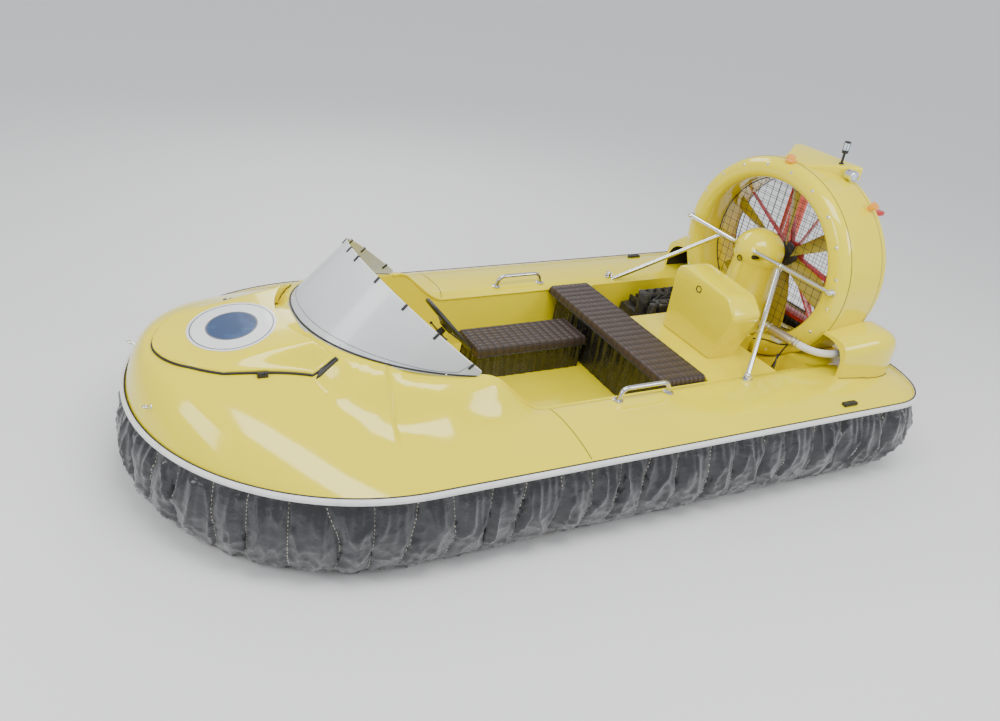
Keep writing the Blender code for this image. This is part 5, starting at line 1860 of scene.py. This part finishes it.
# Fan duct with its rolled front lip, black seam and rivets
DUCT_LIP = [
    (-1.700, DUCT_BORE), (-1.560, DUCT_BORE), (-1.505, 0.447), (-1.486, 0.4485), (-1.470, 0.452), (-1.458, 0.460),
    (-1.449, 0.470), (-1.4435, 0.484), (-1.441, 0.500), (-1.4425, 0.517), (-1.447, 0.532), (-1.455, 0.545),
    (-1.465, 0.555), (-1.478, 0.563), (-1.492, DUCT_R), (-1.540, DUCT_R), (DUCT_SEAM_X, DUCT_R),
    (DUCT_SEAM_X - 0.0005, 0.5655), (DUCT_SEAM_X - 0.002, 0.553), (DUCT_END_X, 0.545), (DUCT_END_X, 0.470),
]


def duct_ring():
    bm = bmesh.new()
    turned(bm, DUCT_LIP, (0.0, 0.0, DUCT_Z), (1, 0, 0), 180)
    duct = as_piece("fan_duct", bm, gel_skin, sharp=48.0)
    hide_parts("duct_ring")


def ring_line(x, radius, steps=160):
    return [
        Vector((x, radius * math.sin(a), DUCT_Z + radius * math.cos(a)))
        for a in (2 * math.pi * i / steps for i in range(steps))
    ]


def duct_trims():
    pipe("duct_seams", [ring_line(-1.497, 0.5668), ring_line(DUCT_SEAM_X, 0.5658)], 0.0019, seam_skin, closed=True, round_steps=2)
    bm = bmesh.new()
    for i in range(20):
        a = 2 * math.pi * (i + 0.35) / 20
        at = Vector((-1.4465, 0.5255 * math.sin(a), DUCT_Z + 0.5255 * math.cos(a)))
        out = Vector((0.93, 0.36 * math.sin(a), 0.36 * math.cos(a))).normalized()
        turned(bm, [(0.0002, 0.0088), (0.0016, 0.0085), (0.0020, 0.0062), (0.0040, 0.0050), (0.0052, 0.0)], at, out, 16, False)
    rivets = as_piece("duct_rivets", bm, chrome_skin)


def fine_guard(name, node, x, radius, pitch):
    """Welded wire screen: upright wires behind level ones, in a hoop."""
    bm = bmesh.new()
    add_tube(bm, ring_line(x, radius - 0.0040, 96) + [ring_line(x, radius - 0.0040, 96)[0]], 0.0030, 8, False)
    count = int(radius / pitch) + 1
    for i in range(-count, count):
        c = (i + 0.5) * pitch
        if abs(c) > radius - 0.012:
            continue
        reach = math.sqrt((radius - 0.004) ** 2 - c * c)
        rod(bm, (x - 0.0011, c, DUCT_Z - reach), (x - 0.0011, c, DUCT_Z + reach), 0.00135, 6)
        rod(bm, (x + 0.0011, -reach, DUCT_Z + c), (x + 0.0011, reach, DUCT_Z + c), 0.00135, 6)
    screen = as_piece(name, bm, wire_skin, sharp=60.0)
    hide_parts(node)


def blade(bm, turn, root, tip, chords, pitches, thick, curl=0.0, sections=10, steps=14):
    """Twisted blade along +Z, then turned about the fan's axis."""
    rows = []
    for i in range(sections + 1):
        t = i / sections
        r = root + (tip - root) * t
        chord = chords[0] + (chords[1] - chords[0]) * ease(min(1.0, t * 1.6))
        if tip - r < 0.012:
            chord -= 0.012
        pitch = math.radians(pitches[0] + (pitches[1] - pitches[0]) * t)
        row = []
        for k in range(steps):
            a = 2 * math.pi * k / steps
            along = 0.5 * chord * math.cos(a)
            across = 0.5 * thick * (1 - 0.5 * t) * math.sin(a) + curl * (1 - (2 * along / chord) ** 2)
            row.append(turn @ Vector((
                along * math.sin(pitch) + across * math.cos(pitch),
                along * math.cos(pitch) - across * math.sin(pitch),
                r,
            )))
        rows.append(row)
    skin_rings(bm, rows)


def set_at(bm, x):
    bmesh.ops.translate(bm, verts=bm.verts, vec=(x, 0.0, DUCT_Z))


def fan_and_stator():
    bm = bmesh.new()
    for i in range(6):
        turn = Matrix.Rotation(math.radians(8) + 2 * math.pi * i / 6, 4, "X")
        blade(bm, turn, 0.045, FAN_R, (0.085, 0.125), (52, 24), 0.012, 0.002)
    set_at(bm, FAN_X)
    blades = as_piece("fan_blades", bm, blade_skin, "fan", sharp=60.0)
    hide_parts("fan")
    bm = bmesh.new()
    turned(
        bm, [(-0.022, 0.0), (-0.022, HUB_R - 0.006), (-0.016, HUB_R), (0.026, HUB_R), (0.034, HUB_R - 0.008), (0.034, 0.0)],
        (FAN_X, 0, DUCT_Z), (1, 0, 0), 48, False,
    )
    rod(bm, (FAN_X + 0.02, 0, DUCT_Z), (BEARING_X - 0.0005, 0, DUCT_Z), 0.020, 28)
    for i in range(12):
        a = 2 * math.pi * i / 12
        y, z = 0.058 * math.sin(a), DUCT_Z + 0.058 * math.cos(a)
        rod(bm, (FAN_X + 0.030, y, z), (FAN_X + 0.0338, y, z), 0.0052, 6)
    hub = as_piece("fan_hub", bm, engine_skin, "fan", sharp=50.0)

    bm = bmesh.new()
    for i in range(9):
        turn = Matrix.Rotation(math.radians(20) + 2 * math.pi * i / 9, 4, "X")
        blade(bm, turn, 0.040, 0.4530, (0.050, 0.050), (80, 80), 0.008, 0.0, 2, 10)
    set_at(bm, STATOR_X)
    turned(
        bm, [(-0.022, 0.0), (-0.022, 0.062), (-0.014, 0.070), (0.014, 0.070), (0.022, 0.062), (0.022, 0.0)],
        (STATOR_X, 0, DUCT_Z), (1, 0, 0), 44, False,
    )
    vanes = as_piece("stator_vanes", bm, red_skin, sharp=50.0)
    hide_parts("stator")


duct_ring()
duct_trims()
fine_guard("front_guard_mesh", "guard_front", GUARD_X, DUCT_BORE - 0.0009, 0.0455)
fine_guard("rear_guard_mesh", "guard_rear", -1.766, 0.4662, 0.0455)
fan_and_stator()


# Rudders and the red bars that carry them
def rudders():
    for name, y in (("rudder_port", 0.2), ("rudder_starboard", -0.2)):
        bm = bmesh.new()
        rows = []
        for z, back in ((0.530, 0.030), (0.537, 0.010), (0.560, 0.0), (1.175, 0.0), (1.198, 0.010), (1.205, 0.030)):
            row = []
            for k in range(26):
                a = 2 * math.pi * k / 26
                share = 0.5 + 0.5 * math.cos(a)
                x = -1.975 + back + (0.169 - 1.6 * back) * share
                thin = 0.0088 * math.sin(a) * (0.35 + 0.65 * share ** 0.5)
                if z in (0.530, 1.205):
                    thin *= 0.6
                row.append(Vector((x, y + thin, z)))
            rows.append(row)
        skin_rings(bm, rows)
        plate = as_piece(name + "_plate", bm, rudder_skin, name, sharp=50.0)
        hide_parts(name)
        bm = bmesh.new()
        rod(bm, (-1.835, y, 0.5045), (-1.835, y, 1.2325), 0.0078, 16)
        for z in (0.545, 0.860, 1.190):
            block(bm, (-1.852, y - 0.0089, z - 0.014), (-1.818, y + 0.0089, z + 0.014), 0.003)
        pin = as_piece(name + "_pin", bm, steel_skin, name)
    for name, z in (("rudder_bar_low", 0.492), ("rudder_bar_high", 1.245)):
        reach = math.sqrt(0.53**2 - (z - DUCT_Z) ** 2)
        bm = bmesh.new()
        block(bm, (-1.850, -reach, z - 0.012), (-1.7745, reach, z + 0.012), 0.003)
        for y in (-0.2, 0.2):
            rod(bm, (-1.835, y, z - 0.0118), (-1.835, y, z + 0.0118), 0.013, 20)
            rod(bm, (-1.835, y, z + 0.0118), (-1.835, y, z + 0.0130), 0.0100, 6)
        bar = as_piece(name + "_beam", bm, red_skin)
        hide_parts(name)


rudders()


# Side pods with open mouths
POD_SHAPE = (
    (-1.480, 0.690, 0.668),
    (-1.530, 0.700, 0.678),
    (-1.600, 0.712, 0.690),
    (-1.670, 0.719, 0.703),
    (-1.740, 0.722, 0.712),
    (-1.790, 0.714, 0.705),
    (-1.830, 0.700, 0.690),
    (-1.860, 0.673, 0.660),
    (-1.885, 0.640, 0.620),
)
POD_MOUTH = [(0.44, 0.44), (0.672, 0.44), (0.672, 0.57), (0.645, 0.625), (0.59, 0.65), (0.44, 0.65)]


def pods():
    for name, side in (("pod_port", 1), ("pod_starboard", -1)):
        bm = bmesh.new()
        rows = []
        for x, out, tall in POD_SHAPE:
            flat = [(0.500, 0.440), (out, 0.440), (out, tall), (0.500, tall)]
            row = rounded(flat, [0.0, 0.0, 0.085, 0.0], 12)
            rows.append([Vector((x, side * y, z)) for y, z in row])
        skin_rings(bm, rows)
        pod = as_piece(name + "_shell", bm, gel_skin)
        seat = bmesh.new()
        rod(seat, (-2.3, 0, DUCT_Z), (-1.3, 0, DUCT_Z), DUCT_R + 0.0006, 180)
        mouth = bmesh.new()
        slab(mouth, [(side * y, z) for y, z in rounded(POD_MOUTH, [0, 0, 0.02, 0.03, 0.03, 0], 5)], -1.74, -1.2, "x")
        carve(pod, [("DIFFERENCE", seat), ("DIFFERENCE", mouth)])
        # Painted shade: the faces inside the open mouth get the black sealing-strip skin.
        pod.data.materials.append(seam_skin)
        for face in pod.data.polygons:
            at = face.center
            inside = abs(at.y) < 0.6735 and at.z < 0.6515 and -1.7405 < at.x < -1.4805
            if inside and math.hypot(at.y, at.z - DUCT_Z) > DUCT_R + 0.003:
                face.material_index = 1
        soften(pod)
        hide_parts(name)
    lines = []
    for side in (1, -1):
        line = []
        for i in range(30):
            x = -1.482 - 0.40 * i / 29
            out = 0.690
            for (xa, oa, ta), (xb, ob, tb) in zip(POD_SHAPE, POD_SHAPE[1:]):
                if xb <= x <= xa:
                    out = oa + (ob - oa) * (xa - x) / (xa - xb)
            line.append(Vector((x, side * (out + 0.0012), deck_z(x, out) + 0.0012)))
        lines.append(line)
    pipe("pod_foot_sealant", lines, 0.0022, sealant_skin, round_steps=2)


pods()


# Top fairing with the mast light, the round lamp, the beacon and the side lamp
FAIRING_SHAPE = ((-1.513, 0.075, 1.426), (-1.600, 0.125, 1.440), (-1.700, 0.195, 1.452), (-1.765, 0.215, 1.452))


def top_fairing():
    bm = bmesh.new()
    rows = []
    for x, wide, tall in FAIRING_SHAPE:
        flat = [(wide, 1.30), (wide, tall), (-wide, tall), (-wide, 1.30)]
        row = rounded(flat, [0.0, 0.014, 0.014, 0.0], 6)
        rows.append([Vector((x, y, z)) for y, z in row])
    skin_rings(bm, rows)
    box = as_piece("top_fairing_box", bm, gel_skin)
    seat = bmesh.new()
    rod(seat, (-2.3, 0, DUCT_Z), (-1.3, 0, DUCT_Z), DUCT_R + 0.0006, 180)
    carve(box, [("DIFFERENCE", seat)])
    soften(box, 45.0)
    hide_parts("top_fairing")


def lights():
    at = Vector((-1.690, 0.139, 1.450))
    bm = bmesh.new()
    turned(bm, [(0.0015, 0.0), (0.0015, 0.013), (0.006, 0.0125), (0.009, 0.0066), (0.060, 0.0062), (0.060, 0.015),
                (0.074, 0.0165), (0.077, 0.0165), (0.077, 0.010)], at, (0, -0.03, 1), 24, False)
    turned(bm, [(0.117, 0.010), (0.117, 0.0155), (0.123, 0.0160), (0.1248, 0.0120), (0.1248, 0.0)], at, (0, -0.03, 1), 24, False)
    for k in range(4):
        a = math.pi / 4 + math.pi / 2 * k
        foot = at + Vector((0.0145 * math.cos(a), 0.0145 * math.sin(a) - 0.0023, 0.074))
        rod(bm, foot, foot + Vector((0, -0.0014, 0.046)), 0.0014, 6)
    mast = as_piece("mast_stand", bm, plastic_skin)
    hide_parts("mast_light")
    bm = bmesh.new()
    turned(bm, [(0.077, 0.0), (0.077, 0.0132), (0.116, 0.0132), (0.118, 0.0)], at, (0, -0.03, 1), 24, False)
    glass = as_piece("mast_glass", bm, clear_skin)

    beacon_z = DUCT_Z + DUCT_R + 0.0004
    bm = bmesh.new()
    turned(bm, [(0.0, 0.0), (0.0, 0.0288), (0.006, 0.0288), (0.008, 0.0262), (0.012, 0.0250), (0.027, 0.0215),
                (0.034, 0.0190), (0.0368, 0.0120), (0.037, 0.0)], (-1.480, 0, beacon_z), (0, 0, 1), 48, False)
    beacon = as_piece("amber_beacon_lens", bm, amber_skin)
    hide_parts("amber_beacon")

    lamp_at = Vector((-1.690, 0.175, 1.4145))
    bm = bmesh.new()
    turned(bm, [(0.020, 0.0), (0.020, 0.0285), (0.040, 0.0288), (0.056, 0.0298), (0.064, 0.0298), (0.0672, 0.0275),
                (0.0660, 0.0235), (0.0600, 0.0225), (0.0600, 0.0)], lamp_at, (0, 1, 0), 40, False)
    lamp = as_piece("round_lamp_bezel", bm, chrome_skin)
    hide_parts("round_lamp")
    bm = bmesh.new()
    turned(bm, [(0.0605, 0.0222), (0.0630, 0.0200), (0.0652, 0.0120), (0.0660, 0.0)], lamp_at, (0, 1, 0), 32, False)
    lens = as_piece("round_lamp_lens", bm, clear_skin)

    turn = math.radians(41.0)
    out = Vector((0.0, math.sin(turn), math.cos(turn)))
    foot = Vector((-1.703, 0.0, DUCT_Z)) + out * (DUCT_R - 0.0008)
    bm = bmesh.new()
    turned(bm, [(0.0, 0.0), (0.0, 0.0148), (0.006, 0.0160), (0.020, 0.0188), (0.036, 0.0232), (0.0398, 0.0222), (0.0402, 0.0)],
           foot, out, 32, False)
    side_lamp = as_piece("side_lamp_lens", bm, amber_skin)
    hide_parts("side_lamp")


top_fairing()
lights()


# Stern cleats, and the skids under the hull
def cleats():
    for name, side in (("stern_cleat_port", 1), ("stern_cleat_starboard", -1)):
        z = deck_z(-1.38, 0.86)
        bm = bmesh.new()
        block(bm, (-1.419, side * 0.865 - 0.0125, z - 0.004), (-1.331, side * 0.865 + 0.0125, z + 0.0137), 0.004, 3)
        for i in range(9):
            x = -1.412 + 0.0092 * i
            block(bm, (x, side * 0.865 - 0.0130, z + 0.001), (x + 0.0045, side * 0.865 + 0.0130, z + 0.0140), 0.0012)
        cleat = as_piece(name + "_grip", bm, plastic_skin)
        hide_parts(name)


def skids():
    top = HULL_BOTTOM_Z - 0.0008
    for name, y in (("skid_port", 0.46), ("skid_starboard", -0.46)):
        bm = bmesh.new()
        flat = [(-1.449, top), (-1.35, 0.0), (1.05, 0.0), (1.149, top)]
        slab(bm, flat, y - 0.0348, y + 0.0348, "y", 0.006, 3)
        skid = as_piece(name + "_runner", bm, skid_skin)
        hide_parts(name)


cleats()
skids()


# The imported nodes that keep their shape
NODE_SKINS = {
    "rub_rail": rail_skin,
}
for node_name, node in nodes.items():
    skin = NODE_SKINS.get(node_name, gel_skin)
    for material_slot in node.material_slots:
        material_slot.material = skin
